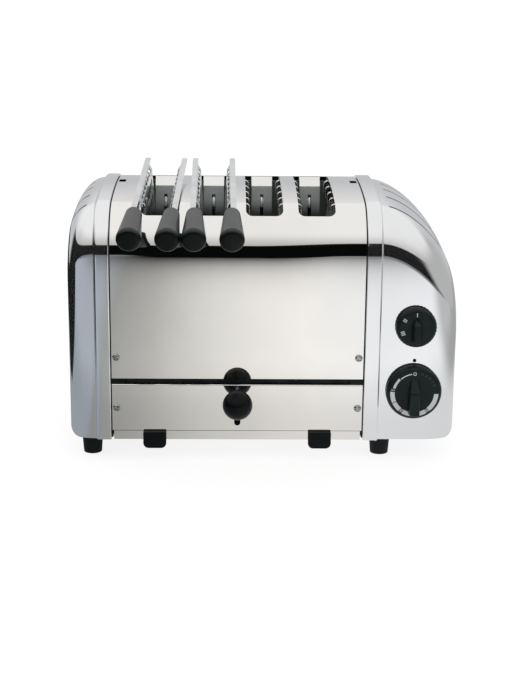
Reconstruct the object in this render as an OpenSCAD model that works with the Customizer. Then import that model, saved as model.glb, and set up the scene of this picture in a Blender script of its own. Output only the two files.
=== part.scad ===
// Four-slot kitchen toaster with two sandwich cages standing in its left slots.
// Millimetres. The origin lies on the table under the middle of the whole outline, handles included:
// +X points to the control end, -Y to the front and +Z up.

/* [Body] */
// Width over both end castings
body_w = 360; // [340:1:390]
// Depth from the front panel to the rear panel
body_d = 210; // [204:1:224]
// Height of the middle of the top above the table
body_h = 241.2; // [236:0.2:250]
// Height that the top bulges up between its shoulders
crown_h = 3.2; // [1:0.2:6]
// Clear height under the body, which is the height of a foot
foot_h = 19.5; // [16:0.5:24]
// Width of the left end casting
left_end_w = 39; // [34:1:46]
// Width of the control end casting
right_end_w = 86; // [80:1:96]
// Radius of the front and rear shoulders
shoulder_r = 44; // [40:1:50]
// Sheet thickness of the cover and the panels
sheet_t = 1.2; // [0.8:0.1:1.6]
// Gap at each seam between the cover and an end casting
seam_gap = 0.4; // [0.2:0.1:0.8]
// Height of the lower panels
lower_panel_h = 45; // [43:0.5:50]
// Gap between the cover's skirt and the lower panels
panel_gap = 4.6; // [3:0.2:7]
// Height of the fold along the top of a lower panel
hem_h = 3; // [2:0.5:5]

/* [Slots] */
// Distance between two slots
slot_pitch = 48; // [46:0.5:50]
// Width of a slot in the cover
slot_w = 34; // [33.5:0.5:36]
// Distance from the front or rear of the body to the end of a slot
slot_setback = 17.5; // [12:0.5:19]
// Corner radius of a slot
slot_corner = 4; // [2:0.5:8]
// Width of the small rack holes in the cover
rack_hole_w = 6.5; // [4.5:0.5:8]
// Length of the small rack holes
rack_hole_l = 14; // [8:1:24]
// Distance of the rack holes from the seams
rack_hole_in = 5.5; // [4:0.5:8]
// Distance of the rack holes behind the middle of the body
rack_hole_y = 20; // [0:1:40]
// Reach of the sloped lip at the rear of a slot behind the chamber plate
lip_run = 7.5; // [5:0.5:10]

/* [End castings] */
// Width of the raised rim next to the cover
rim_w = 14; // [10:1:18]
// Height of the rim over the cover
rim_proud = 1.5; // [0.5:0.1:3]
// Step from the rim down to the dome
rim_step = 3.5; // [2:0.1:5]
// Wall of an end casting
casting_t = 3; // [2:0.2:4]
// Thickness of the ledge that the heat shield is screwed to
ledge_t = 5; // [4:0.5:8]
// Reach of that ledge inside the cover
ledge_in = 9; // [8:0.5:12]
// Height that the left dome loses up to its end
left_drop = 30; // [24:1:50]
// Height that the right dome loses up to its end
right_drop = 80; // [70:1:100]
// Roundness of the left dome's top edge, where 2 is an ellipse
left_power = 2; // [1.7:0.05:2.4]
// Roundness of the right dome's top edge
right_power = 1.65; // [1.5:0.05:2.2]
// Distance that the dome's front and rear draw in at its end
corner_in = 14; // [8:1:20]
// Radius of the dome's lower edge at its end
bottom_r = 10; // [6:1:14]
// Length over which the left corners are rounded
left_corner_l = 24; // [14:1:24]
// Length over which the right corners are rounded
right_corner_l = 34; // [16:1:40]
// Distance between two vent slits
vent_pitch = 33; // [24:1:36]
// Width of a vent slit
vent_w = 3; // [2:0.2:5]
// Distance from the rim to the start of a slit
vent_start = 8; // [5:0.5:12]
// Height of a slit's lower end above the table
vent_z = 112; // [80:1:130]

/* [Base and tray] */
// Thickness of the base plate
base_t = 1.5; // [1:0.1:3]
// Height of the base plate's end flanges
base_flange_h = 36; // [32:1:50]
// Height of the tray's front strip
tray_front_h = 8.5; // [7:0.5:10]
// Gap above the tray's front strip
tray_top_gap = 0.4; // [0.2:0.1:1]
// Distance of the tray's front strip from each seam
tray_side_gap = 2.5; // [1.5:0.5:5]
// Running clearance of the tray
tray_run = 0.3; // [0.2:0.1:0.8]
// Height of the tray's walls
tray_wall_h = 5.5; // [3:0.5:6]
// Width of a pull tab
tab_w = 21.5; // [14:0.5:30]
// Height of a pull tab
tab_h = 16; // [12:0.5:20]
// Thickness of a pull tab
tab_t = 5; // [3:0.5:8]
// Distance of a pull tab from the middle of the cover
tab_x = 77; // [40:1:95]

/* [Feet] */
// Diameter of a foot at its top
foot_d = 20; // [16:0.5:24]
// Diameter of a foot on the table
foot_tip_d = 17; // [14:0.5:20]
// Distance of the left feet from the left end
foot_left_in = 19.5; // [16:0.5:22]
// Distance of the right feet from the right seam
foot_right_in = 18; // [16:0.5:40]
// Distance of the feet from the front and the rear
foot_y_in = 22; // [19:0.5:40]

/* [Toasting chamber] */
// Distance from the front of the body to the front chamber plate
front_plate_in = 22; // [20:0.5:24]
// Distance from the rear of the body to the rear chamber plate
rear_plate_in = 41.5; // [30:0.5:44]
// Thickness of the chamber plates and the heat shields
plate_t = 1.2; // [0.8:0.1:2]
// Distance from the top of the shoulders down to the chamber plates' tongues
tongue_below = 10.5; // [10:0.5:16]
// Width of a tongue between two guards
tongue_w = 20.5; // [16:0.5:24]
// Thickness of an element board
board_t = 1.5; // [1:0.1:3]
// Height of an element board
board_h = 130; // [110:1:132]
// Number of heating ribbons on one face of a board
ribbon_n = 7; // [4:1:10]
// Height of a heating ribbon
ribbon_h = 3; // [1:0.5:6]
// Thickness of a heating ribbon
ribbon_t = 0.5; // [0.3:0.1:1]
// Clear width between the guard wires of a slot
guard_gap = 30; // [29:0.5:31]
// Diameter of a guard wire
guard_wire_d = 2; // [1.4:0.1:2.2]
// Number of upright guard wires on one side of a slot
guard_wire_n = 6; // [3:1:9]
// Distance that the guard wires spread outwards at the top
guard_flare = 4.5; // [2:0.5:5]

/* [Lift and lever] */
// Distance from the top of the lower front panel down to the lever
lever_below = 8.4; // [8:0.1:12]
// Distance from the front of the body to the lever's pivot
lever_pivot_in = 95; // [90:1:100]
// Angle that the lever turns through
lever_angle = 16.5; // [10:0.5:17]
// Diameter of the lever's front rod
lever_rod_d = 4.6; // [4:0.1:5.2]
// Height of the lever's rear bar
lever_bar_h = 6; // [4:0.5:6]
// Width of the lever's rear bar
lever_bar_w = 5; // [3:0.5:7]
// Diameter of the ball
ball_d = 27.2; // [20:0.2:32]
// Distance of the ball's centre in front of the panel
ball_out = 34.8; // [26:0.2:45]
// Diameter of the lever's pivot pin
pivot_d = 6; // [4:0.5:8]
// Clearance beside the rod in the lever slot
lever_side_gap = 0.6; // [0.4:0.1:1.5]
// Clearance between the lever and the rear lift bar
lift_gap = 0.4; // [0.3:0.1:0.8]
// Height of a lift bar
lift_bar_h = 8; // [6:0.5:9]
// Width of a lift bar
lift_bar_w = 8; // [6:0.5:10]
// Distance from a chamber plate to its lift bar
lift_bar_out = 10.5; // [9:0.5:11]
// Diameter of a guide rod
rod_d = 5; // [4:0.5:6]
// Distance of the guide rods from the seams
rod_in = 9.5; // [9:0.5:12]
// Thickness of a bread rack's rail
rack_t = 2.5; // [2:0.1:4]
// Height of a bread rack's rail
rack_h = 10; // [6:0.5:14]
// Height of a rack's legs over the lift bars
rack_leg_h = 7.6; // [4:0.2:10]
// Number of cross wires on a bread rack
rack_wire_n = 5; // [3:1:9]
// Length of a cross wire
rack_wire_l = 22; // [14:1:26]
// Diameter of a cross wire
rack_wire_d = 3; // [2:0.2:4]

/* [Controls] */
// Distance of the dials from the right end
dial_in = 39.5; // [36:0.5:44]
// Height of the timer dial's centre
timer_z = 67.5; // [58:0.5:74]
// Diameter of the timer dial
timer_d = 52; // [44:0.5:56]
// Height of the selector dial's centre
selector_z = 130; // [124:0.5:138]
// Diameter of the selector dial
selector_d = 38.5; // [30:0.5:44]
// Thickness of a dial's disc
dial_t = 8; // [5:0.5:12]
// Height of a dial's grip over its disc
grip_h = 9; // [5:0.5:14]
// Width of a dial's grip
grip_w = 12; // [8:0.5:16]
// Gap between a dial and the casting
dial_gap = 1; // [0.6:0.1:2]
// Diameter of a dial's spindle
spindle_d = 6; // [4:0.5:7]
// Diameter of the threaded neck around a spindle
neck_d = 10; // [9:0.5:12]
// Side of the timer's case
timer_case = 44; // [36:1:48]
// Side of the selector switch's case
switch_case = 30; // [24:1:36]
// Depth of both cases behind the casting
case_depth = 32; // [24:1:40]
// Bore of the cord gland
gland_bore = 8; // [6:0.5:9]
// Diameter of the gland's barrel
gland_d = 12; // [11:0.5:14]
// Height of the cord gland above the table
gland_z = 50; // [40:1:70]

/* [Sandwich cages] */
// Length of a cage's perforated plate
cage_l = 122; // [100:1:124]
// Height of the plate from the hinge to its flange
cage_h = 145; // [130:1:150]
// Thickness of the plate
cage_t = 0.8; // [0.6:0.1:1.2]
// Distance of a plate from the hinge's axis
cage_off = 4.7; // [4.2:0.1:5]
// Distance that the top of each plate leans out to its side
cage_spread = 8.3; // [7.5:0.1:8.5]
// Angle that the cages dip at the front, in degrees
cage_dip = 5.2; // [4:0.1:6]
// Turn of the first cage to the left, in degrees
cage_turn = 1.5; // [0:0.1:1.6]
// Shift of the first cage to the left
cage_shift = 1.2; // [0:0.1:1.3]
// Turn of the second cage to the right, in degrees
cage_turn_2 = 0.4; // [0.4:0.1:1]
// Shift of the second cage to the right
cage_shift_2 = 0.6; // [0.5:0.1:1]
// Width of the sloped band between a plate and its flange
band_w = 2.7; // [1:0.1:4]
// Height of the sloped band
band_h = 5; // [4:0.5:8]
// Width of the flange along the top of a plate
flange_w = 5.3; // [4:0.1:8]
// Reach of the flange in front of its plate
flange_front = 45; // [30:0.5:50]
// Reach of the flange behind its plate
flange_rear = 24.6; // [10:0.2:30]
// Distance between two columns of holes
hole_pitch_y = 15; // [12:0.5:20]
// Width of a hole
hole_w = 11; // [8:0.5:11.5]
// Distance between two rows of holes
hole_pitch_z = 15; // [14:0.5:20]
// Height of a hole
hole_h = 11; // [8:0.5:13]
// Diameter of the hinge pin
hinge_pin_d = 3; // [2:0.2:4]
// Length of a handle
handle_l = 63; // [50:1:80]
// Diameter of a handle at the cage
handle_d1 = 15; // [12:0.5:18]
// Diameter of a handle at its free end
handle_d2 = 22; // [18:0.5:22.5]
// Droop of the handles below the flange, in degrees
handle_droop = 4; // [0:0.1:6]
// Distance of a handle's axis from the middle of its flange, towards the other plate
handle_in = 1.6; // [0:0.1:3]
// Width of the tang in a handle
tang_w = 5; // [3:0.5:7]
// Length of the tang in a handle
tang_l = 28; // [15:1:40]

/* [Fits] */
// Gap between a sheet edge and the piece that it lies in
fit_gap = 0.3; // [0.2:0.05:0.5]
// Radial clearance of pins, spindles and screws in their holes
pin_fit = 0.05; // [0.03:0.01:0.1]
// Gap between a cage and the rack under it
seat_gap = 0.4; // [0.3:0.1:0.8]
// Diameter of the small screws
screw_d = 3; // [2.5:0.5:4]
// Diameter of a small screw's head
screw_head_d = 7; // [5.5:0.5:8]
// Height of a small screw's head
screw_head_h = 1.8; // [1.2:0.1:3]
// Distance of the panel screws from the seams
screw_in = 5; // [4.5:0.25:6.5]
// Height of the panel screws in the lower panels
screw_low_z = 50.5; // [40:0.5:56]
// Height of the panel screws in the cover's skirts
screw_high_z = 99.5; // [90:0.5:120]

/* [Hidden] */
$fn = 48;
cut = 1;
slot_n = 4;
arc_n = 12;
crown_n = 4;
dome_n = 16;

recess_w = 1;
recess_l = screw_head_d * 0.6;
recess_h = screw_head_h * 0.5;
screw_over = 1.5;
screw_hole_d = screw_d + 2 * pin_fit;
foot_screw_d = 5;
foot_screw_over = 3;
foot_head_d = 9;
foot_head_h = 4;
foot_sink = 8;
flange_in = 12;
flange_end = 2;
base_turn = 12;
lip_t = 1.8;
lip_sink = 0.2;
chamber_drop = 7;
rod_spare = 10;
rod_run = 2 * pin_fit;
bush_wall = 3;
ear_t = 2;
ear_w = 14;
ear_over = 3;
shelf_below = 22;
window_gap = 1;
window_top_gap = 1.5;
slit_gap = 0.4;
slit_low = 4;
slit_below = 8;
board_below = 5;
ribbon_in = 6;
guard_lap = 2;
guard_foot = 3;
guard_tie = 8;
guard_bend_below = 28;
guard_flare_h = 22;
guard_top_gap = 3;
rack_leg_in = 1;
rack_wire_sink = 0.2;
lever_slot_spare = 1.3;
hub_d = 14;
hub_w = 8;
pivot_ear_t = 2;
pivot_ear_gap = 0.5;
pivot_ear_wall = 4;
pivot_head_t = 1.2;
pivot_head_over = 1.5;
beam_below = 4;
beam_h = 10;
beam_d = 28;
beam_t = 1.5;
dial_bore_l = dial_t + 2;
dial_bevel = 1.5;
grip_in = 5;
grip_fall = 0.3;
case_pad = 3.2;
pad_gap = 0.1;
pad_over = 1;
neck_end = 0.4;
gland_in = 4;
gland_collar_t = 3;
gland_collar_over = 3;
pan_in = 2;
pan_t = 0.8;
pan_rear_gap = 8;
tab_r = 5;
knuckle_wall = 2;
knuckle_r = hinge_pin_d / 2 + knuckle_wall;
knuckle_l = 5;
knuckle_gap = 1;
knuckle_end = 4;
lug_t = 3;
hinge_pin_over = 1;
plate_below = knuckle_r - 0.5;
hole_end = 3;
hole_top = 4;
tang_lap = 6;
tang_gap = 0.1;
handle_tip_r = 2.5;
band_lap = 1;
band_edge = 0.6;

cage_lean = asin(cage_spread / cage_h);
rear_reach = body_d / 2 + max(rim_proud, screw_head_h);
handle_fall = cage_dip + handle_droop;
handle_off = cage_off + band_w + flange_w / 2 - handle_in;
cage_back = (front_plate_in + plate_t - rear_plate_in + cage_h * sin(cage_dip)) / 2;
flange_reach = (cage_l / 2 + flange_front) * cos(cage_dip)
    + (cage_h * cos(cage_lean) - handle_off * sin(cage_lean)) * sin(cage_dip);
handle_reach = (handle_l + fit_gap - handle_tip_r) * cos(handle_fall)
    + (handle_d2 / 2 - handle_tip_r) * sin(handle_fall) + handle_tip_r;
turn_reach = (handle_off + cage_spread) * sin(cage_turn);
front_reach = flange_reach + handle_reach + turn_reach - cage_back;
body_cy = (front_reach - rear_reach) / 2;

front_y = body_cy - body_d / 2;
rear_y = body_cy + body_d / 2;
left_x = -body_w / 2;
right_x = body_w / 2;
cover_x0 = left_x + left_end_w;
cover_x1 = right_x - right_end_w;
cover_w = cover_x1 - cover_x0;
cover_cx = (cover_x0 + cover_x1) / 2;

base_z = foot_h;
base_top = base_z + base_t;
lower_panel_z = base_z + tray_front_h + tray_top_gap;
lower_panel_top = lower_panel_z + lower_panel_h;
skirt_z = lower_panel_top + panel_gap;
shoulder_top = body_h - crown_h;
straight_top = shoulder_top - shoulder_r;
top_half = body_d / 2 - shoulder_r;
crown_a = 2 * atan(crown_h / top_half);
crown_r = shoulder_r + top_half / sin(crown_a);

dome_inset = rim_step - rim_proud;
hollow_inset = dome_inset + casting_t;
wall_y = front_y + dome_inset;
wall_in_y = wall_y + casting_t;

front_plate_y = front_y + front_plate_in;
rear_plate_y = rear_y - rear_plate_in;
chamber_y0 = front_plate_y + plate_t;
chamber_y1 = rear_plate_y;
chamber_l = chamber_y1 - chamber_y0;
shield_x0 = cover_x0 + plate_t;
shield_x1 = cover_x1 - plate_t;
tongue_top = shoulder_top - tongue_below;

lever_z = lower_panel_top - lever_below;
pivot_y = front_y + lever_pivot_in;
front_bar_y = front_plate_y - lift_bar_out;
rear_bar_y = rear_plate_y + plate_t + lift_bar_out;
lever_rear_l = rear_bar_y - pivot_y;
lift_h = lever_rear_l * sin(lever_angle);
lift_bar_z = lever_z + lever_bar_h / 2 + lift_gap;
lift_bar_top = lift_bar_z + lift_bar_h;
rack_z = lift_bar_top + rack_leg_h;
rack_top = rack_z + rack_h;
chamber_z = lever_z - chamber_drop;
rod_top = lift_bar_top + lift_h + rod_spare;
board_z = tongue_top - board_below - board_h;
guard_z = rack_top - guard_lap;
lip_y = rear_plate_y + plate_t + lip_run;

ball_y = front_y - ball_out;
ball_bore_y = ball_y - ball_d / 4;
lever_slot_w = lever_rod_d + 2 * lever_side_gap;
lever_slot_top = lever_z + lever_rod_d / 2 + lever_slot_spare;
lever_slot_bottom = lever_z - lever_pivot_in * tan(lever_angle) - lever_rod_d / 2 - lever_slot_spare;
beam_top = lever_z - hub_d / 2 - beam_below;

dial_x = right_x - dial_in;
dial_back_y = wall_y - dial_gap;
cage_pin_z = rack_top + seat_gap + cage_l / 2 * sin(cage_dip) + knuckle_r;
cage_y = body_cy + cage_back;

foot_places = [for (y = [front_y + foot_y_in, rear_y - foot_y_in])
    for (x = [left_x + foot_left_in, cover_x1 + foot_right_in]) [x, y]];
panel_screw_places = [for (x = [cover_x0 + screw_in, cover_x1 - screw_in])
    for (z = [screw_low_z, screw_high_z]) [x, z]];
shield_screw_in = sheet_t + plate_t + fit_gap + screw_head_d / 2;
shield_screw_low_z = 40;
shield_screw_high_z = 150;
shield_screw_y = 40;
shield_screw_places = concat(
    [for (s = [-1, 1]) for (z = [shield_screw_low_z, shield_screw_high_z])
        [body_cy + s * (body_d / 2 - shield_screw_in), z]],
    [for (s = [-1, 1]) [body_cy + s * shield_screw_y, shoulder_top - shield_screw_in]]);
side_screw_z = base_z + base_flange_h - 8;
side_screw_y = 60;
side_screw_places = [body_cy - side_screw_y, body_cy + side_screw_y];

function slot_x(i) = cover_cx + (i - (slot_n + 1) / 2) * slot_pitch;
function board_x(i) = cover_cx + (i - slot_n / 2 - 1) * slot_pitch;

// Fall of a rounded edge from 0 to 1 as u goes from 0 to 1
function round_fall(u, power) = 1 - pow(1 - pow(u, power), 1 / power);

// One arch-shaped section at x, drawn in by inset, from the front foot over the top to the rear foot,
// with its shoulders' top at the height top and the crown between them
function arch_ring(x, inset, top, r, bottom) =
    let (half = body_d / 2 - inset,
         crown = r + (half - r) / sin(crown_a),
         crown_z = top - r - (half - r) / tan(crown_a))
    concat(
        [[x, body_cy - half, bottom]],
        [for (k = [0 : arc_n]) let (a = (90 - crown_a) * k / arc_n)
            [x, body_cy - half + r - r * cos(a), top - r + r * sin(a)]],
        [for (k = [1 - crown_n : crown_n - 1]) let (a = crown_a * k / crown_n)
            [x, body_cy + crown * sin(a), crown_z + crown * cos(a)]],
        [for (k = [0 : arc_n]) let (a = (90 - crown_a) * (1 - k / arc_n))
            [x, body_cy + half - r + r * cos(a), top - r + r * sin(a)]],
        [[x, body_cy + half, bottom]]);

// Sections of a dome from the rim at x0 to its end at x1, where the lower edge rises by lift
function dome_rings(x0, x1, drop, power, corner_l, inset, bottom, lift) =
    [for (k = [0 : dome_n])
        let (u = sin(90 * k / dome_n),
             x = x0 + (x1 - x0) * u,
             v = max(0, (x - x1 + corner_l) / corner_l),
             w = max(0, (x - x1 + bottom_r) / bottom_r))
        arch_ring(x, inset + corner_in * round_fall(v, 2),
                  shoulder_top - inset - drop * round_fall(u, power),
                  shoulder_r - inset, bottom + lift * round_fall(w, 2))];

// Closed skin over a row of sections with equal point counts, first section at the smallest x
module loft(rings) {
    n = len(rings);
    m = len(rings[0]);
    polyhedron(
        points = [for (r = rings) each r],
        faces = concat(
            [[for (j = [m - 1 : -1 : 0]) j]],
            [[for (j = [0 : m - 1]) (n - 1) * m + j]],
            [for (i = [0 : n - 2]) for (j = [0 : m - 1]) let (k = (j + 1) % m)
                each [[i * m + j, i * m + k, (i + 1) * m + k],
                      [i * m + j, (i + 1) * m + k, (i + 1) * m + j]]]));
}

// Outline of the body in Y and Z, drawn in by inset, from the height bottom upwards
module arch(inset, bottom) {
    half = body_d / 2 - inset;
    crown = crown_r - inset;
    crown_half = crown * sin(crown_a);
    translate([body_cy - half, bottom]) square([2 * half, straight_top - bottom]);
    for (s = [-1, 1])
        translate([body_cy + s * top_half, straight_top]) circle(shoulder_r - inset, $fn = 96);
    intersection() {
        translate([body_cy, straight_top - top_half / tan(crown_a)]) circle(crown, $fn = 720);
        translate([body_cy - crown_half, straight_top - cut])
            square([2 * crown_half, shoulder_r + crown_h + 2 * cut]);
    }
}

// Carries a Y-Z outline along X
module along_x(x, l) {
    translate([x, 0, 0]) rotate([90, 0, 90]) linear_extrude(l) children();
}

module rounded_rect(w, l, r) {
    square([w - 2 * r, l], center = true);
    square([w, l - 2 * r], center = true);
    for (x = [-1, 1], y = [-1, 1]) translate([x * (w / 2 - r), y * (l / 2 - r)]) circle(r);
}

// Rod along X, Y or Z that starts at its low end
module rod_x(d, l) {
    rotate([0, 90, 0]) cylinder(d = d, h = l);
}

module rod_y(d, l) {
    rotate([-90, 0, 0]) cylinder(d = d, h = l);
}

// Screw that points along +Z, with its head's underside at 0 and a cross recess
module small_screw(l) {
    cylinder(d = screw_d, h = l);
    difference() {
        translate([0, 0, -screw_head_h]) cylinder(d = screw_head_d, h = screw_head_h);
        for (a = [0, 90]) rotate([0, 0, a])
            translate([-recess_l / 2, -recess_w / 2, -screw_head_h - cut])
                cube([recess_l, recess_w, recess_h + cut]);
    }
}

module base_plate() {
    reach = body_d / 2 - ledge_in - fit_gap;
    end_reach = body_d / 2 - hollow_inset - corner_in - fit_gap;
    end_l = left_x + bottom_r;
    end_r = right_x - bottom_r;
    turn_l = cover_x0 - base_turn;
    turn_r = right_x - right_corner_l;
    color("dimgray") difference() {
        union() {
            translate([0, body_cy, base_z]) linear_extrude(base_t) polygon([
                [end_l, -end_reach], [turn_l, -reach], [turn_r, -reach], [end_r, -end_reach],
                [end_r, end_reach], [turn_r, reach], [turn_l, reach], [end_l, end_reach]]);
            for (x = [end_l, end_r - base_t]) translate([x, body_cy - end_reach, base_z])
                cube([base_t, 2 * end_reach, base_flange_h]);
        }
        for (p = foot_places) translate([p[0], p[1], base_z - cut])
            cylinder(d = foot_screw_d + 2 * pin_fit, h = base_t + 2 * cut);
        for (y = side_screw_places) translate([left_x - cut, y, side_screw_z])
            rod_x(screw_hole_d, body_w + 2 * cut);
    }
}

// Skin of a dome that starts at x0 inside the rim
module dome(x0, end_w, drop, power, corner_l, inset, bottom, lift) {
    loft(concat(
        [arch_ring(x0, inset, shoulder_top - inset, shoulder_r - inset, bottom)],
        dome_rings(rim_w, end_w, drop, power, corner_l, inset, bottom, lift)));
}

// Hollow end casting with its seam face at x = 0, growing towards +X
module end_casting(end_w, drop, power, corner_l) {
    difference() {
        union() {
            along_x(0, rim_w) arch(-rim_proud, base_z);
            dome(ledge_t, end_w, drop, power, corner_l, dome_inset, base_z, bottom_r);
        }
        along_x(-cut, ledge_t + 2 * cut) arch(ledge_in, base_z - cut);
        dome(ledge_t, end_w - casting_t, drop, power, corner_l, hollow_inset, base_z - cut, 0);
        for (k = [-2 : 2])
            translate([rim_w + vent_start, body_cy + k * vent_pitch - vent_w / 2, vent_z])
                cube([end_w, vent_w, body_h]);
        for (p = shield_screw_places) translate([-cut, p[0], p[1]])
            rod_x(screw_hole_d, ledge_t + 2 * cut);
        for (y = side_screw_places) translate([end_w - casting_t - cut, y, side_screw_z])
            rod_x(screw_hole_d, casting_t + 2 * cut);
    }
}

module left_end_casting() {
    color("lightgray") translate([cover_x0, 0, 0]) mirror([1, 0, 0])
        end_casting(left_end_w, left_drop, left_power, left_corner_l);
}

module right_end_casting() {
    color("gainsboro") difference() {
        translate([cover_x1, 0, 0]) end_casting(right_end_w, right_drop, right_power, right_corner_l);
        for (z = [timer_z, selector_z]) translate([dial_x, wall_y - cut, z])
            rod_y(neck_d + 2 * pin_fit, casting_t + 2 * cut);
        translate([dial_x, rear_y - hollow_inset - cut, gland_z])
            rod_y(gland_d + 2 * pin_fit, casting_t + 2 * cut);
    }
}

module panel_screw_holes() {
    for (p = panel_screw_places, y = [front_y - cut, rear_y - 2 * sheet_t - cut])
        translate([p[0], y, p[1]]) rod_y(screw_hole_d, 3 * sheet_t + 2 * cut);
}

// Outline of a slot about its middle, with a tab left standing at the rear for the lip
module slot_outline() {
    tab_l = body_cy + body_d / 2 - lip_y;
    difference() {
        rounded_rect(slot_w, body_d - 2 * slot_setback, slot_corner);
        translate([-tongue_w / 2, lip_y - body_cy]) square([tongue_w, tab_l]);
    }
}

// Sloped lip from the tab at the rear of a slot down to the chamber plate's tongue
module slot_lip(i) {
    shoulder_y = rear_y - shoulder_r;
    top_z = straight_top + sqrt(pow(shoulder_r, 2) - pow(lip_y + lip_t - shoulder_y, 2)) - lip_sink;
    low_y = rear_plate_y + fit_gap;
    low_z = tongue_top + fit_gap;
    along_x(slot_x(i) - tongue_w / 2, tongue_w)
        polygon([[low_y, low_z], [low_y + lip_t, low_z], [lip_y + lip_t, top_z], [lip_y, top_z]]);
}

module top_cover() {
    color("silver") difference() {
        union() {
            difference() {
                along_x(cover_x0 + seam_gap, cover_w - 2 * seam_gap) difference() {
                    arch(0, skirt_z);
                    arch(sheet_t, skirt_z - cut);
                }
                for (i = [1 : slot_n]) translate([slot_x(i), body_cy, straight_top])
                    linear_extrude(shoulder_r + crown_h + cut) slot_outline();
            }
            for (i = [1 : slot_n]) slot_lip(i);
        }
        for (x = [cover_x0 + rack_hole_in, cover_x1 - rack_hole_in])
            translate([x, body_cy + rack_hole_y, body_h])
                cube([rack_hole_w, rack_hole_l, 4 * sheet_t], center = true);
        panel_screw_holes();
    }
}

// Lower panel with its outer face at y and its inner side towards the middle
module lower_panel(y, y_hem) {
    x = cover_x0 + seam_gap;
    w = cover_w - 2 * seam_gap;
    hem_x = shield_x0 + flange_in + fit_gap;
    hem_l = cover_x1 + cover_x0 - 2 * hem_x;
    translate([x, y, lower_panel_z]) cube([w, sheet_t, lower_panel_h]);
    translate([hem_x, y_hem, lower_panel_top - hem_h]) cube([hem_l, sheet_t, hem_h]);
}

module lower_front_panel() {
    slot_end_z = lever_slot_bottom + lever_slot_w / 2;
    color("silver") difference() {
        lower_panel(front_y, front_y + sheet_t);
        translate([cover_cx - lever_slot_w / 2, front_y - cut, slot_end_z])
            cube([lever_slot_w, 3 * sheet_t + 2 * cut, lever_slot_top - slot_end_z]);
        translate([cover_cx, front_y - cut, slot_end_z]) rod_y(lever_slot_w, 3 * sheet_t + 2 * cut);
        panel_screw_holes();
    }
}

module lower_rear_panel() {
    color("silver") difference() {
        lower_panel(rear_y - sheet_t, rear_y - 2 * sheet_t);
        panel_screw_holes();
    }
}

// Heat shield at x with its two flanges reaching to x_flange
module heat_shield(x, x_flange) {
    flange_z = lower_panel_z + flange_end;
    difference() {
        union() {
            along_x(x, plate_t) arch(sheet_t + fit_gap, base_top);
            for (y = [front_y + sheet_t, rear_y - sheet_t - plate_t])
                translate([min(x, x_flange), y, flange_z])
                    cube([flange_in + plate_t, plate_t, straight_top - flange_end - flange_z]);
        }
        for (p = panel_screw_places, y = [front_y - cut, rear_y - sheet_t - plate_t - cut])
            translate([p[0], y, p[1]]) rod_y(screw_hole_d, sheet_t + plate_t + 2 * cut);
        for (p = shield_screw_places) translate([x - cut, p[0], p[1]]) rod_x(screw_hole_d, plate_t + 2 * cut);
    }
}

module left_heat_shield() {
    color("gray") heat_shield(cover_x0, cover_x0);
}

module right_heat_shield() {
    color("gray") heat_shield(shield_x1, shield_x1 - flange_in);
}

// Chamber plate at y, with ears for the guide rods reaching out to the lift bar
module chamber_plate(y, bar_y, lever_top) {
    out = bar_y > y ? 1 : -1;
    shelf_z = tongue_top - shelf_below;
    face = out > 0 ? y + plate_t : y;
    ear_l = lift_bar_out + rod_d / 2 + ear_over;
    slit_w = rack_t + 2 * slit_gap;
    slit_z = rack_z - slit_low;
    window_w = lever_bar_w + 2 * window_gap;
    difference() {
        union() {
            translate([shield_x0, y, chamber_z])
                cube([shield_x1 - shield_x0, plate_t, shelf_z - chamber_z]);
            for (i = [1 : slot_n]) translate([slot_x(i) - tongue_w / 2, y, chamber_z])
                cube([tongue_w, plate_t, tongue_top - chamber_z]);
            for (x = [cover_x0 + rod_in, cover_x1 - rod_in], z = [chamber_z, rod_top - ear_t])
                translate([x - ear_w / 2, min(face, face + out * ear_l), z])
                    cube([ear_w, ear_l, ear_t]);
        }
        for (i = [1 : slot_n]) translate([slot_x(i) - slit_w / 2, y - cut, slit_z])
            cube([slit_w, plate_t + 2 * cut, tongue_top - slit_below - slit_z]);
        translate([cover_cx - window_w / 2, y - cut, chamber_z - cut])
            cube([window_w, plate_t + 2 * cut, lever_top + window_top_gap - chamber_z + cut]);
        for (x = [cover_x0 + rod_in, cover_x1 - rod_in]) translate([x, bar_y, chamber_z - cut])
            cylinder(d = rod_d + 2 * pin_fit, h = rod_top - chamber_z + 2 * cut);
    }
}

module front_chamber_plate() {
    color("darkgray") chamber_plate(front_plate_y, front_bar_y, lever_z + lever_rod_d / 2);
}

module rear_chamber_plate() {
    reach = rear_plate_y + plate_t - pivot_y;
    lever_rise = reach * tan(lever_angle) + lever_bar_h / 2 / cos(lever_angle);
    color("darkgray") chamber_plate(rear_plate_y, rear_bar_y, lever_z + lever_rise);
}

module element_board(i) {
    color("tan") translate([board_x(i) - board_t / 2, chamber_y0, board_z])
        cube([board_t, chamber_l, board_h]);
}

module heating_ribbons() {
    color("saddlebrown") for (i = [1 : slot_n + 1], s = [-1, 1], k = [0 : ribbon_n - 1])
        if (!(i == 1 && s < 0) && !(i == slot_n + 1 && s > 0))
            translate([board_x(i) + (s > 0 ? board_t / 2 : -board_t / 2 - ribbon_t),
                       chamber_y0 + ribbon_in,
                       board_z + board_h * (k + 0.5) / ribbon_n - ribbon_h / 2])
                cube([ribbon_t, chamber_l - 2 * ribbon_in, ribbon_h]);
}

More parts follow.
